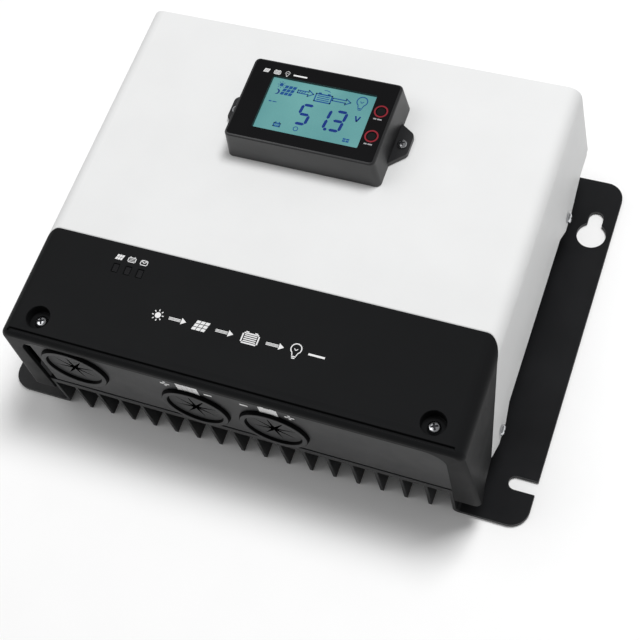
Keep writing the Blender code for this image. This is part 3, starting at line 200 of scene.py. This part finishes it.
def board_green(name):
    """Solder resist with a fine pattern of tracks under it."""
    material, shader, tree, where = new_material(name, (0.01, 0.12, 0.05), 0.35)
    tracks = tree.nodes.new("ShaderNodeTexBrick")
    tracks.inputs["Scale"].default_value = 260.0
    tracks.inputs["Color1"].default_value = (0.008, 0.10, 0.045, 1.0)
    tracks.inputs["Color2"].default_value = (0.012, 0.14, 0.06, 1.0)
    tracks.inputs["Mortar"].default_value = (0.02, 0.19, 0.08, 1.0)
    tree.links.new(where, tracks.inputs["Vector"])
    tree.links.new(tracks.outputs["Color"], shader.inputs["Base Color"])
    add_bump(tree, shader, tracks.outputs["Fac"], 0.03 * MM)
    return material


def winding():
    """Enamelled copper wire wound close on a core: upright ridges."""
    return textured("wound_core", (0.55, 0.2, 0.07), 0.3, 0.85, grain=420.0,
                    depth=0.25 * MM, mottle=0.25, stretch=(1.0, 1.0, 0.05))


def glass():
    """Clear window: nearly transparent, with a glossy surface."""
    material, shader, tree, where = new_material("clear_lens", (0.02, 0.03, 0.03), 0.06)
    shader.inputs["Alpha"].default_value = 0.05
    tree.links.new(spread(tree, noise(tree, where, 90.0), 0.04, 0.10),
                   shader.inputs["Roughness"])
    return material


def display_glow():
    """Backlit liquid crystal: teal light, slightly uneven."""
    material, shader, tree, where = new_material("lcd_panel", (0.05, 0.12, 0.12), 0.35)
    cloudy = noise(tree, where, 26.0)
    fine = noise(tree, where, 2200.0, 1.0)
    glow = tint(tree, spread(tree, cloudy, 0.0, 1.0), (0.085, 0.285, 0.30),
                (0.15, 0.40, 0.39))
    tree.links.new(glow, shader.inputs["Emission Color"])
    shader.inputs["Emission Strength"].default_value = 0.72
    add_bump(tree, shader, fine, 0.005 * MM)
    return material


MATERIALS = {
    "black_anodised": anodised(),
    "white_powder_coat": powder_coat(),
    "black_plastic": textured("black_plastic", (0.0095, 0.0098, 0.0103), 0.45,
                              specular=0.06, grain=1500.0, depth=0.02 * MM, mottle=0.03),
    "grey_plastic": textured("grey_plastic", (0.0155, 0.0159, 0.017), 0.5, specular=0.42,
                             grain=1300.0, depth=0.02 * MM, mottle=0.03),
    "black_rubber": textured("black_rubber", (0.002, 0.002, 0.0022), 0.6, specular=0.03,
                             grain=800.0, depth=0.03 * MM, mottle=0.15),
    "bright_steel": textured("bright_steel", (0.62, 0.63, 0.65), 0.22, 1.0,
                             grain=600.0, depth=0.006 * MM, mottle=0.08),
    "clamp_steel": textured("clamp_steel", (0.45, 0.45, 0.47), 0.35, 1.0, grain=500.0,
                            depth=0.01 * MM, stretch=(0.05, 1.0, 1.0)),
    "plain_aluminium": textured("plain_aluminium", (0.7, 0.7, 0.72), 0.35, 1.0,
                                grain=700.0, depth=0.01 * MM, stretch=(1.0, 1.0, 8.0)),
    "turned_brass": textured("turned_brass", (0.65, 0.45, 0.18), 0.3, 1.0, grain=700.0,
                             depth=0.01 * MM, stretch=(1.0, 1.0, 8.0)),
    "smoked_plastic": textured("smoked_plastic", (0.006, 0.006, 0.007), 0.12,
                               grain=300.0, depth=0.004 * MM),
    "circuit_board": board_green("circuit_board"),
    "terminal_green": textured("terminal_green", (0.02, 0.22, 0.09), 0.45,
                               grain=1200.0, depth=0.02 * MM),
    "wound_core": winding(),
    "capacitor_sleeve": textured("capacitor_sleeve", (0.008, 0.012, 0.03), 0.3,
                                 grain=300.0, depth=0.01 * MM),
    "device_epoxy": textured("device_epoxy", (0.012, 0.012, 0.012), 0.5, grain=1600.0,
                             depth=0.01 * MM),
    "thermal_pad_grey": textured("thermal_pad_grey", (0.25, 0.27, 0.3), 0.8,
                                 grain=1000.0, depth=0.03 * MM),
    "clear_lens": glass(),
    "lcd_panel": display_glow(),
}
METER_BLACK = textured("meter_black", (0.016, 0.0162, 0.0172), 0.4, specular=0.6,
                       grain=1500.0, depth=0.02 * MM, mottle=0.03)
# A lighter copy of the grommets' rubber for their front faces: painted light against the
# near-black walls.
RUBBER_LIT_FACE = textured("rubber_lit_face", (0.0155, 0.0159, 0.017), 0.52, specular=0.42,
                       grain=800.0, depth=0.03 * MM, mottle=0.15)
LABEL_BLACK = textured("label_black", (0.0045, 0.0045, 0.005), 0.3, specular=0.15,
                       grain=1800.0, depth=0.006 * MM, mottle=0.08)
PRINT_GREY = textured("print_grey", (0.3, 0.3, 0.31), 0.5, grain=1500.0,
                      depth=0.004 * MM, mottle=0.03)
PRINT_WHITE = textured("print_white", (0.72, 0.72, 0.72), 0.5, grain=1500.0,
                       depth=0.004 * MM, mottle=0.03)
PANEL_WHITE = textured("panel_white", (0.95, 0.95, 0.95), 0.45, grain=1500.0,
                       depth=0.004 * MM, mottle=0.02)
# Dark metal laid on the floor of each screw's cross recess: painted shade in the recess.
PAINTED_RECESS_SHADE = textured("painted_recess_shade", (0.05, 0.05, 0.055), 0.5, 0.6, grain=900.0,
                       depth=0.006 * MM)
PRINT_RED = textured("print_red", (0.22, 0.012, 0.022), 0.45, grain=1500.0,
                     depth=0.004 * MM, mottle=0.1)
SEGMENT_DARK = textured("segment_dark", (0.001, 0.025, 0.20), 0.4, grain=1500.0,
                        depth=0.002 * MM, mottle=0.1)
SEGMENT_PALE = textured("segment_pale", (0.006, 0.07, 0.26), 0.4, grain=1500.0,
                        depth=0.002 * MM, mottle=0.1)


# ---- building pieces ----------------------------------------------------

def add_piece(name, mesh, material, node, replaces=False):
    """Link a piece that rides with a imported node, or stands for it."""
    piece = bpy.data.objects.new(name, mesh)
    bpy.context.scene.collection.objects.link(piece)
    mesh.materials.clear()
    mesh.materials.append(material)
    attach(piece, NODES[node]["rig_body"])
    if replaces:
        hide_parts(node)
    return piece


def soften(node, width):
    """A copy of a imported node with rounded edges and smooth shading."""
    bm = bmesh.new()
    bm.from_mesh(NODES[node].data)
    bmesh.ops.remove_doubles(bm, verts=bm.verts, dist=0.01 * MM)
    bmesh.ops.dissolve_limit(bm, angle_limit=math.radians(1.0), verts=bm.verts,
                             edges=bm.edges)
    bmesh.ops.recalc_face_normals(bm, faces=bm.faces)
    mesh = bpy.data.meshes.new(node + "_finish")
    bm.to_mesh(mesh)
    bm.free()
    piece = add_piece(node + "_finish", mesh, MATERIALS[SLOTS[node]], node, True)
    mesh.shade_smooth()
    mesh.set_sharp_from_angle(angle=SOFTEN_ANGLE)
    bevel = piece.modifiers.new("rounding", "BEVEL")
    bevel.width = width
    bevel.segments = 2
    bevel.limit_method = "ANGLE"
    bevel.angle_limit = SOFTEN_ANGLE
    bevel.use_clamp_overlap = False
    bevel.harden_normals = True
    return piece


def centre_of(node):
    """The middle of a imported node's box."""
    low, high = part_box(node)
    return (low + high) / 2


def lathe(profile, segments, material, node, matrix, boxes):
    """A turned piece from (radius, height) points, cut by boxes and placed by a
    matrix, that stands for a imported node."""
    name = node + "_finish"
    bm = bmesh.new()
    verts = [bm.verts.new((radius, 0.0, height)) for radius, height in profile]
    edges = [bm.edges.new(pair) for pair in zip(verts, verts[1:])]
    bmesh.ops.spin(bm, geom=verts + edges, axis=(0, 0, 1), cent=(0, 0, 0),
                   angle=math.tau, steps=segments)
    bmesh.ops.remove_doubles(bm, verts=bm.verts, dist=0.001 * MM)
    bmesh.ops.recalc_face_normals(bm, faces=bm.faces)
    mesh = bpy.data.meshes.new(name)
    bm.to_mesh(mesh)
    bm.free()
    mesh = carved(mesh, boxes)
    mesh.transform(matrix)
    piece = add_piece(name, mesh, material, node, True)
    mesh.shade_smooth()
    mesh.set_sharp_from_angle(angle=LATHE_ANGLE)
    return piece


def carved(mesh, boxes):
    """The mesh with a set of boxes cut away, each given as a matrix."""
    blank = bpy.data.objects.new("blank", mesh)
    bpy.context.scene.collection.objects.link(blank)
    cutters = []
    for matrix in boxes:
        bm = bmesh.new()
        bmesh.ops.create_cube(bm, size=1.0, matrix=matrix)
        tool_mesh = bpy.data.meshes.new("tool")
        bm.to_mesh(tool_mesh)
        bm.free()
        tool = bpy.data.objects.new("tool", tool_mesh)
        bpy.context.scene.collection.objects.link(tool)
        cut = blank.modifiers.new("cut", "BOOLEAN")
        cut.operation = "DIFFERENCE"
        cut.solver = "EXACT"
        cut.object = tool
        cutters.append(tool)
    bpy.context.view_layer.update()
    depsgraph = bpy.context.evaluated_depsgraph_get()
    result = bpy.data.meshes.new_from_object(blank.evaluated_get(depsgraph))
    for obj in [blank] + cutters:
        bpy.data.objects.remove(obj, do_unlink=True)
    return result


# ---- flat artwork: polygons in millimetres ------------------------------

def bar(x0, y0, x1, y1, width):
    """A straight stroke."""
    along = Vector((x1 - x0, y1 - y0)).normalized()
    side = Vector((-along.y, along.x)) * width / 2
    return [[(x0 + side.x, y0 + side.y), (x0 - side.x, y0 - side.y),
             (x1 - side.x, y1 - side.y), (x1 + side.x, y1 + side.y)]]


def rectangle(x, y, width, height):
    """An upright rectangle about its middle."""
    return bar(x - width / 2, y, x + width / 2, y, height)


def outline(points, width):
    """A closed line of strokes through points."""
    shapes = []
    for (x0, y0), (x1, y1) in zip(points, points[1:] + points[:1]):
        reach = Vector((x1 - x0, y1 - y0)).normalized() * width / 2
        shapes += bar(x0 - reach.x, y0 - reach.y, x1 + reach.x, y1 + reach.y, width)
    return shapes


def disc(x, y, radius, count=24):
    """A filled circle."""
    return [[(x + radius * math.cos(math.tau * i / count),
              y + radius * math.sin(math.tau * i / count)) for i in range(count)]]


def ring(x, y, inner, outer, count=40, start=0.0, end=360.0):
    """A flat ring, or part of one, between two angles in degrees."""
    shapes = []
    for index in range(count):
        a = math.radians(start + (end - start) * index / count)
        b = math.radians(start + (end - start) * (index + 1) / count)
        shapes.append([(x + inner * math.cos(a), y + inner * math.sin(a)),
                       (x + outer * math.cos(a), y + outer * math.sin(a)),
                       (x + outer * math.cos(b), y + outer * math.sin(b)),
                       (x + inner * math.cos(b), y + inner * math.sin(b))])
    return shapes


def moved(shapes, dx, dy, scale=1.0):
    """Shapes scaled about their origin, then shifted."""
    return [[(x * scale + dx, y * scale + dy) for x, y in shape] for shape in shapes]


def sun():
    """A disc with eight rays."""
    shapes = disc(0, 0, 1.5)
    for index in range(8):
        angle = math.tau * index / 8
        c, s = math.cos(angle), math.sin(angle)
        shapes += bar(2.1 * c, 2.1 * s, 3.0 * c, 3.0 * s, 0.5)
    return shapes


def moon():
    """A crescent between two arcs."""
    outer = [(2.2 * math.cos(math.radians(a)), 2.2 * math.sin(math.radians(a)))
             for a in range(-110, 111, 20)]
    inner = [(1.35 * math.cos(math.radians(a)) - 0.4, 1.75 * math.sin(math.radians(a)))
             for a in range(-100, 101, 20)]
    return [[inner[i], outer[i], outer[i + 1], inner[i + 1]]
            for i in range(len(inner) - 1)]


def solar_panel(rows=3, columns=3, width=7.0, height=5.4, lean=1.6, gap=0.35):
    """A leaning grid of cells."""
    shapes = []
    cell_w, cell_h = width / columns, height / rows
    for row in range(rows):
        for column in range(columns):
            x0, x1 = column * cell_w + gap / 2, (column + 1) * cell_w - gap / 2
            y0, y1 = row * cell_h + gap / 2, (row + 1) * cell_h - gap / 2
            corners = [(x0, y0), (x1, y0), (x1, y1), (x0, y1)]
            shapes.append([(x - width / 2 + lean * (y / height - 0.5), y - height / 2)
                           for x, y in corners])
    return shapes


def battery(width=8.0, height=5.0, bars=4):
    """An outlined case with two posts and level bars."""
    w, h = width / 2, height / 2
    shapes = outline([(-w, -h), (w, -h), (w, h), (-w, h)], 0.7)
    for side in (-1, 1):
        shapes += rectangle(side * width * 0.28, h + 0.55, width * 0.18, 0.8)
    for index in range(bars):
        y = -h + height * (index + 1) / (bars + 1)
        shapes += rectangle(0, y, width * 0.78, height * 0.11)
    return shapes


def arrow(length=8.0, width=2.6, filled=True):
    """An arrow to the right: a solid head on three strokes, or an outline."""
    tip, neck = length / 2, length / 2 - width * 0.75
    if not filled:
        half = width * 0.22
        return outline([(-tip, -half), (neck, -half), (neck, -width / 2), (tip, 0),
                        (neck, width / 2), (neck, half), (-tip, half)], 0.6)
    shapes = [[(neck, -width / 2), (tip, 0), (neck, width / 2)]]
    for offset in (-0.55, 0.0, 0.55):
        shapes += bar(-tip, offset, neck - 0.3, offset, 0.32)
    return shapes


def bulb():
    """A lamp bulb with its filament and cap."""
    shapes = ring(0, 1.0, 2.3, 2.8, 28, -60, 240)
    shapes += bar(-1.35, -1.35, -1.0, -2.6, 0.45) + bar(1.35, -1.35, 1.0, -2.6, 0.45)
    shapes += rectangle(0, -3.0, 2.2, 0.5) + rectangle(0, -3.8, 1.6, 0.5)
    shapes += bar(-0.9, 1.0, 0.0, 0.1, 0.35) + bar(0.0, 0.1, 0.9, 1.0, 0.35)
    return shapes


def plus(size, width):
    """A plus sign."""
    return rectangle(0, 0, size, width) + rectangle(0, 0, width, size)


SEGMENTS = {"1": "bc", "3": "abgcd", "5": "afgcd"}      # a is the top bar, g the middle


def digit(figure, width=5.8, height=12.4, stroke=1.7, slant=0.10):
    """A seven-segment figure with pointed bars."""
    w, h, gap = width / 2, height / 2, 0.22
    places = {
        "a": ((-w, h), (w, h)), "b": ((w, h), (w, 0)), "c": ((w, 0), (w, -h)),
        "d": ((-w, -h), (w, -h)), "f": ((-w, h), (-w, 0)), "g": ((-w, 0), (w, 0)),
    }
    shapes = []
    for key in SEGMENTS[figure]:
        start, end = Vector(places[key][0]), Vector(places[key][1])
        along = (end - start).normalized()
        side = Vector((-along.y, along.x)) * stroke / 2
        start, end = start + along * gap, end - along * gap
        inner0, inner1 = start + along * stroke / 2, end - along * stroke / 2
        points = [start, inner0 + side, inner1 + side, end, inner1 - side, inner0 - side]
        shapes.append([(p.x + slant * p.y, p.y) for p in points])
    return shapes


def print_art(name, shapes, matrix, material, node):
    """Lay polygons on a surface as a very thin raised layer."""
    bm = bmesh.new()
    for shape in shapes:
        bm.faces.new([bm.verts.new((x * MM, y * MM, 0.0)) for x, y in shape])
    bmesh.ops.recalc_face_normals(bm, faces=bm.faces)
    for face in bm.faces:
        if face.normal.z < 0:
            face.normal_flip()
    made = bmesh.ops.extrude_face_region(bm, geom=bm.faces[:])
    lifted = [item for item in made["geom"] if isinstance(item, bmesh.types.BMVert)]
    bmesh.ops.translate(bm, vec=(0, 0, PRINT_THICKNESS), verts=lifted)
    bmesh.ops.recalc_face_normals(bm, faces=bm.faces)
    bm.transform(matrix)
    mesh = bpy.data.meshes.new(name)
    bm.to_mesh(mesh)
    bm.free()
    return add_piece(name, mesh, material, node)


def on_top(x, y, z):
    """Art plane facing up, u along +X and v along +Y."""
    return Matrix.Translation((x, y, z))


def on_front(x, y, z):
    """Art plane facing the front, u along +X and v along +Z."""
    turn = Matrix(((1, 0, 0, 0), (0, 0, -1, 0), (0, 1, 0, 0), (0, 0, 0, 1)))
    return Matrix.Translation((x, y, z)) @ turn


# ---- the object's surfaces ----------------------------------------------

def finish_nodes():
    """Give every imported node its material, and soften the ones that show."""
    for name, node in NODES.items():
        node.data.materials.clear()
        node.data.materials.append(MATERIALS[SLOTS[name]])
    soften("heat_sink", 0.25 * MM)
    soften("housing_cover", 0.25 * MM)
    soften("terminal_cover", 0.45 * MM)
    soften("gland_panel", 0.2 * MM)
    case = soften("meter_case", 0.2 * MM)
    case.data.materials[0] = METER_BLACK


def fine_screw(node, axis):
    """A pan head screw with a cross recess, its floor painted dark as shade, for a packed
    screw on that axis.
    """
    low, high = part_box(node)
    axis = Vector(axis).normalized()
    tip = max((v.co for v in NODES[node].data.vertices), key=lambda co: co.dot(axis))
    middle = (low + high) / 2
    head_top = middle + axis * (tip - middle).dot(axis)
    radius = (high.y - low.y) / 2
    height = radius * 0.65
    shank = radius * 0.48
    length = (high - low).dot(Vector(map(abs, axis))) * 0.9
    profile = [(0.0, 0.0)]
    for index in range(1, 9):
        angle = math.radians(90 * index / 8)
        profile.append((radius * math.sin(angle) ** 0.8,
                        -height * 0.75 * (1 - math.cos(angle)) ** 1.2))
    profile += [(radius, -height * 0.95), (radius * 0.97, -height),
                (shank, -height), (shank, -length), (0.0, -length)]
    recess = []
    for angle in (0.0, math.pi / 2):
        turn = Matrix.Rotation(angle, 4, "Z")
        size = Matrix.Diagonal((radius * 1.15, radius * 0.3, height * 1.1, 1.0))
        recess.append(turn @ size)
    place = Matrix.Translation(head_top) @ axis.to_track_quat("Z", "Y").to_matrix().to_4x4()
    piece = lathe(profile, 40, MATERIALS["bright_steel"], node,
                  place @ Matrix.Rotation(math.radians(25), 4, "Z"), recess)
    # the recess floor takes the dark metal: painted shade
    piece.data.materials.append(PAINTED_RECESS_SHADE)
    floor = head_top.dot(axis) - height * 0.5
    for face in piece.data.polygons:
        offset = face.center - head_top
        across = (offset - axis * offset.dot(axis)).length
        if (abs(face.normal.dot(axis)) > 0.95 and across < radius * 0.6
                and floor - height * 0.3 < face.center.dot(axis) < floor + height * 0.2):
            face.material_index = 1


def fine_screws():
    """Every screw that shows from outside."""
    for place in ("front", "rear"):
        for name, side in (("left", -1), ("right", 1)):
            fine_screw(f"cover_screw_{place}_{name}", (side, 0.0, SIDE_TAPER))
    for name in ("left", "right"):
        fine_screw("terminal_cover_screw_" + name, (0, 0, 1))
        fine_screw("meter_screw_" + name, (0, 0, 1))


SLIT_MIDDLE = 2.3 * MM         # a slit's width at the middle; it closes to its ends


def fine_grommet(node):
    """Rubber ring with a rounded lip and a slit, slightly domed membrane; its front faces
    are painted lighter than its walls.
    """
    low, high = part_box(node)
    middle = (low + high) / 2
    outer = (high.x - low.x) / 2
    inner = outer * 0.80
    deep = high.y - low.y
    membrane = [(0.0, -1.75 * MM), (inner * 0.35, -1.8 * MM), (inner * 0.7, -1.95 * MM),
                (inner - 0.9 * MM, -2.0 * MM), (inner - 0.25 * MM, -1.75 * MM)]
    lip = [(inner + 0.25 * MM, -0.55 * MM), (inner + 0.5 * MM, -0.2 * MM),
           (inner + 0.95 * MM, 0.0), (outer - 1.3 * MM, 0.0),
           (outer - 0.8 * MM, -0.12 * MM), (outer - 0.45 * MM, -0.45 * MM)]
    neck = [(outer, -2.0 * MM), (outer * 0.86, -2.02 * MM), (outer * 0.86, -deep * 0.7),
            (outer * 0.94, -deep * 0.7), (outer * 0.9, -deep), (inner, -deep),
            (inner - 0.5 * MM, -3.0 * MM), (0.0, -2.9 * MM)]
    profile = membrane + lip + neck
    slits = []
    quarter = Matrix.Rotation(math.radians(45), 4, "Z")
    for index in range(4):
        turn = Matrix.Rotation(math.pi * index / 4 + math.radians(11), 4, "Z")
        size = Matrix.Diagonal((inner * 1.17, SLIT_MIDDLE / math.sqrt(2), 12 * MM, 1.0))
        slits.append(turn @ size @ quarter)
    piece = lathe(profile, 72, MATERIALS["black_rubber"], node,
                  on_front(middle.x, low.y, middle.z), slits)
    # Front-facing faces take the lighter rubber and the walls keep the near-black one:
    # painted light on the faces, painted shade on the walls.
    piece.data.materials.append(RUBBER_LIT_FACE)
    for face in piece.data.polygons:
        if face.normal.y < -0.9:
            face.material_index = 1


def meter_face():
    """Black overlay on the meter's top, open at the window and both keys."""
    low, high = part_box("meter_lens")
    case_low, case_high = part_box("meter_case")
    window = (low + high) / 2
    lower, upper = centre_of("meter_button_lower"), centre_of("meter_button_upper")
    centre = (case_low + case_high) / 2
    half = Vector((42.0 * MM, (case_high.y - case_low.y) / 2 - 2.2 * MM))
    curve = bpy.data.curves.new("meter_face", "CURVE")
    curve.dimensions = "2D"
    curve.fill_mode = "BOTH"
    curve.extrude = LABEL_THICKNESS / 2
    loops = [rounded_box(centre.x, centre.y, half.x, half.y, 1.6 * MM),
             rounded_box(window.x, window.y, (high.x - low.x) / 2 + WINDOW_GAP,
                         (high.y - low.y) / 2 + WINDOW_GAP, 0.8 * MM)]
    for key in (lower, upper):
        loops += disc(key.x, key.y, KEY_HOLE_RADIUS, 40)
    for loop in loops:
        spline = curve.splines.new("POLY")
        spline.points.add(len(loop) - 1)
        for point, (x, y) in zip(spline.points, loop):
            point.co = (x, y, 0.0, 1.0)
        spline.use_cyclic_u = True
    guide = bpy.data.objects.new("meter_face_guide", curve)
    bpy.context.scene.collection.objects.link(guide)
    guide.location.z = case_high.z + LABEL_THICKNESS / 2
    bpy.context.view_layer.update()
    depsgraph = bpy.context.evaluated_depsgraph_get()
    mesh = bpy.data.meshes.new_from_object(guide.evaluated_get(depsgraph))
    mesh.transform(guide.matrix_world)
    bpy.data.objects.remove(guide, do_unlink=True)
    add_piece("meter_face", mesh, LABEL_BLACK, "meter_case")
    top = case_high.z + LABEL_THICKNESS
    dashes = rectangle(-1.5, 0, 1.7, 0.8) + rectangle(1.1, 0, 2.5, 0.8)
    for name, key in (("lower", lower), ("upper", upper)):
        print_art("key_ring_" + name, ring(0, 0, 2.98, 3.85, 56), on_top(key.x, key.y, top),
                  PRINT_RED, "meter_case")
        print_art("key_mark_" + name, dashes,
                  on_top(key.x - 0.3 * MM, key.y - 5.2 * MM, top), PRINT_GREY, "meter_case")
    marks = moved(solar_panel(), 0, 0, 0.46) + moved(battery(), 6.4, -0.1, 0.46)
    marks += moved(bulb(), 12.4, 0.1, 0.46)
    marks += rectangle(20.0, 0, 8.0, 0.9)
    print_art("meter_mark", marks, on_top(window.x - 35.2 * MM, high.y + 2.6 * MM, top),
              PRINT_WHITE, "meter_case")


def rounded_box(x, y, half_x, half_y, radius, steps=5):
    """Corner-rounded rectangle as points."""
    points = []
    for sx, sy, first in ((1, 1, 0), (-1, 1, 90), (-1, -1, 180), (1, -1, 270)):
        cx, cy = x + sx * (half_x - radius), y + sy * (half_y - radius)
        for index in range(steps + 1):
            angle = math.radians(first + 90 * index / steps)
            points.append((cx + radius * math.cos(angle), cy + radius * math.sin(angle)))
    return points


def display():
    """The figures and pictograms of the liquid crystal panel."""
    low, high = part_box("meter_lens")
    middle = (low + high) / 2
    width, height = (high.x - low.x) / MM, (high.y - low.y) / MM

    def at(u, v):
        """Shares of the window across and down, as millimetres from its middle."""
        return (u - 0.5) * width, (0.5 - v) * height

    dark = []
    for figure, u in (("5", 0.415), ("1", 0.588), ("3", 0.738)):
        dark += moved(digit(figure), *at(u, 0.582))
    dark += moved(disc(0, 0, 0.95), *at(0.650, 0.768))
    dark += moved(moon(), *at(0.08, 0.255), 0.8)
    pale = moved(sun(), *at(0.10, 0.115), 0.75)
    pale += moved(solar_panel(3, 3, 7.4, 7.2, 2.0, 0.45), *at(0.185, 0.205), 0.95)
    pale += moved(arrow(9.2, 4.0, False), *at(0.348, 0.180))
    for offset in (-3.3, -1.9, -0.5):
        pale += moved(bar(offset - 0.5, -0.6, offset + 0.5, 0.6, 0.45), *at(0.348, 0.180))
    pale += moved(battery(8.4, 4.4, 3), *at(0.525, 0.22), 1.1)
    pale += moved(ring(0, 0, 5.2, 5.6, 12, 60, 100), *at(0.525, 0.22))
    pale += moved(arrow(10.4, 3.8, False), *at(0.70, 0.200))
    pale += moved(bulb(), *at(0.885, 0.170), 1.15)
    dashes = rectangle(-1.4, 0, 1.6, 0.7) + rectangle(1.2, 0, 2.4, 0.5)
    pale += moved(dashes, *at(0.08, 0.455))
    pale += moved(battery(3.6, 2.0, 2), *at(0.207, 0.868))
    pale += moved(ring(0, 0, 0.9, 1.3, 16), *at(0.39, 0.872), 1.15)
    pale += moved(solar_panel(2, 2, 4.0, 2.6, 0.0), *at(0.873, 0.892))
    volts = bar(-1.1, 1.4, 0.0, -1.4, 0.7) + bar(1.1, 1.4, 0.0, -1.4, 0.7)
    dark += moved(volts, *at(0.900, 0.470), 1.25)
    place = on_top(middle.x, middle.y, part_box("meter_lcd")[1].z + 0.02 * MM)
    print_art("lcd_figures", dark, place, SEGMENT_DARK, "meter_lcd")
    print_art("lcd_pictograms", pale, place, SEGMENT_PALE, "meter_lcd")


def printed_marks():
    """White pictograms on the wiring cover and beside the grommets."""
    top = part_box("terminal_cover")[1].z + PRINT_LIFT
    fins_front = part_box("heat_sink")[0].y
    lamps = [centre_of(f"led_light_pipe_{index}") for index in (1, 2, 3)]
    envelope = outline([(-3.2, -2.2), (3.2, -2.2), (3.2, 2.2), (-3.2, 2.2)], 0.7)
    envelope += bar(-3.0, 2.0, 0.0, -0.4, 0.7) + bar(0.0, -0.4, 3.0, 2.0, 0.7)
    icons = [solar_panel(2, 3), battery(7.0, 4.2, 2), envelope]
    for index, (lamp, icon) in enumerate(zip(lamps, icons), 1):
        print_art(f"lamp_mark_{index}", moved(icon, 0, 0, 0.62),
                  on_top(lamp.x, lamp.y + 6.6 * MM, top), PRINT_WHITE, "terminal_cover")
    wide_arrow = arrow(9, 3.4)
    steps = [(sun(), -47), (wide_arrow, -35.5), (solar_panel(), -22), (wide_arrow, -8.5),
             (battery(), 6), (wide_arrow, 20), (bulb(), 31.5)]
    row = []
    for shapes, x in steps:
        row += moved(shapes, x, 0, 1.12)
    row += rectangle(43, 0, 9.0, 1.1)
    print_art("cover_mark", row, on_top(0.0, fins_front + 31.0 * MM, top), PRINT_WHITE,
              "terminal_cover")
    panel_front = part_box("gland_panel")[0].y
    panel_level = 78.0 * MM
    sign_minus = rectangle(0, 0, 4.6, 1.5)
    sign_plus = plus(5.4, 1.35)
    marks = [("panel_plus_left", sign_plus, -34.4), ("panel_minus_left", sign_minus, -9.5),
             ("panel_minus_right", sign_minus, 10.9), ("panel_plus_right", sign_plus, 36.5),
             ("panel_solar", solar_panel(3, 4, 12.6, 10.8, 0.0, 0.14), -21.2),
             ("panel_battery", rectangle(0, 0, 10.4, 8.2)
              + rectangle(-2.8, 4.6, 2.2, 1.0) + rectangle(2.8, 4.6, 2.2, 1.0), 24.6)]
    for name, shapes, x in marks:
        print_art(name, shapes, on_front(x * MM, panel_front - PRINT_LIFT, panel_level),
                  PANEL_WHITE, "gland_panel")


# ---- studio -------------------------------------------------------------

def add_camera():
    """The camera that gives the three-quarter view from the right and above."""
    azimuth, elevation, roll = map(math.radians, (37.153, 61.914, -19.663))
    right = Vector((math.cos(azimuth), math.sin(azimuth), 0.0))
    back = Vector((math.sin(azimuth) * math.cos(elevation),
                   -math.cos(azimuth) * math.cos(elevation), math.sin(elevation)))
    up = back.cross(right)
    side = right * math.cos(roll) + up * math.sin(roll)
    over = up * math.cos(roll) - right * math.sin(roll)
    data = bpy.data.cameras.new("camera")
    data.lens = 75.13
    data.sensor_width = 36.0
    camera = bpy.data.objects.new("camera", data)
    bpy.context.scene.collection.objects.link(camera)
    turn = Matrix((side, over, back)).transposed().to_4x4()
    fins_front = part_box("heat_sink")[0].y
    place = Vector((0.2331, fins_front - 0.2069, 0.6987))
    camera.matrix_world = Matrix.Translation(place) @ turn
    bpy.context.scene.camera = camera


def add_area(name, place, target, size, power, mirrored=True):
    """A soft square light aimed at a point; unmirrored ones give no gloss."""
    data = bpy.data.lights.new(name, "AREA")
    data.shape = "SQUARE"
    data.size = size
    data.energy = power
    lamp = bpy.data.objects.new(name, data)
    bpy.context.scene.collection.objects.link(lamp)
    lamp.location = place
    aim = Vector(target) - Vector(place)
    lamp.rotation_mode = "QUATERNION"
    lamp.rotation_quaternion = aim.to_track_quat("-Z", "Y")
    lamp.visible_glossy = mirrored


def add_studio():
    """A pale floor, two soft lights and a plain white surround."""
    bm = bmesh.new()
    bmesh.ops.create_grid(bm, x_segments=2, y_segments=2, size=3.0)
    mesh = bpy.data.meshes.new("floor")
    bm.to_mesh(mesh)
    bm.free()
    floor = bpy.data.objects.new("floor", mesh)
    bpy.context.scene.collection.objects.link(floor)
    mesh.materials.append(textured("floor_white", (0.96, 0.96, 0.96), 0.9, specular=0.1,
                                   grain=200.0, depth=0.0, mottle=0.004, polish=0.02))
    add_area("key", (-0.6, -0.1, 1.2), (0, 0, 0.05), 0.8, 3.8)
    add_area("rear_top", (0.28, 0.30, 1.35), (0, 0, 0.05), 0.42, 15.0, False)
    world = bpy.data.worlds.new("studio")
    world.use_nodes = True
    world.node_tree.nodes["Background"].inputs["Color"].default_value = (1, 1, 1, 1)
    world.node_tree.nodes["Background"].inputs["Strength"].default_value = 0.25
    bpy.context.scene.world = world
    bpy.context.scene.view_settings.view_transform = "Standard"


def main():
    """Camera, pieces and studio."""
    add_camera()
    finish_nodes()
    fine_screws()
    for place in ("left", "middle", "right"):
        fine_grommet("cable_grommet_" + place)
    meter_face()
    display()
    printed_marks()
    add_studio()


main()
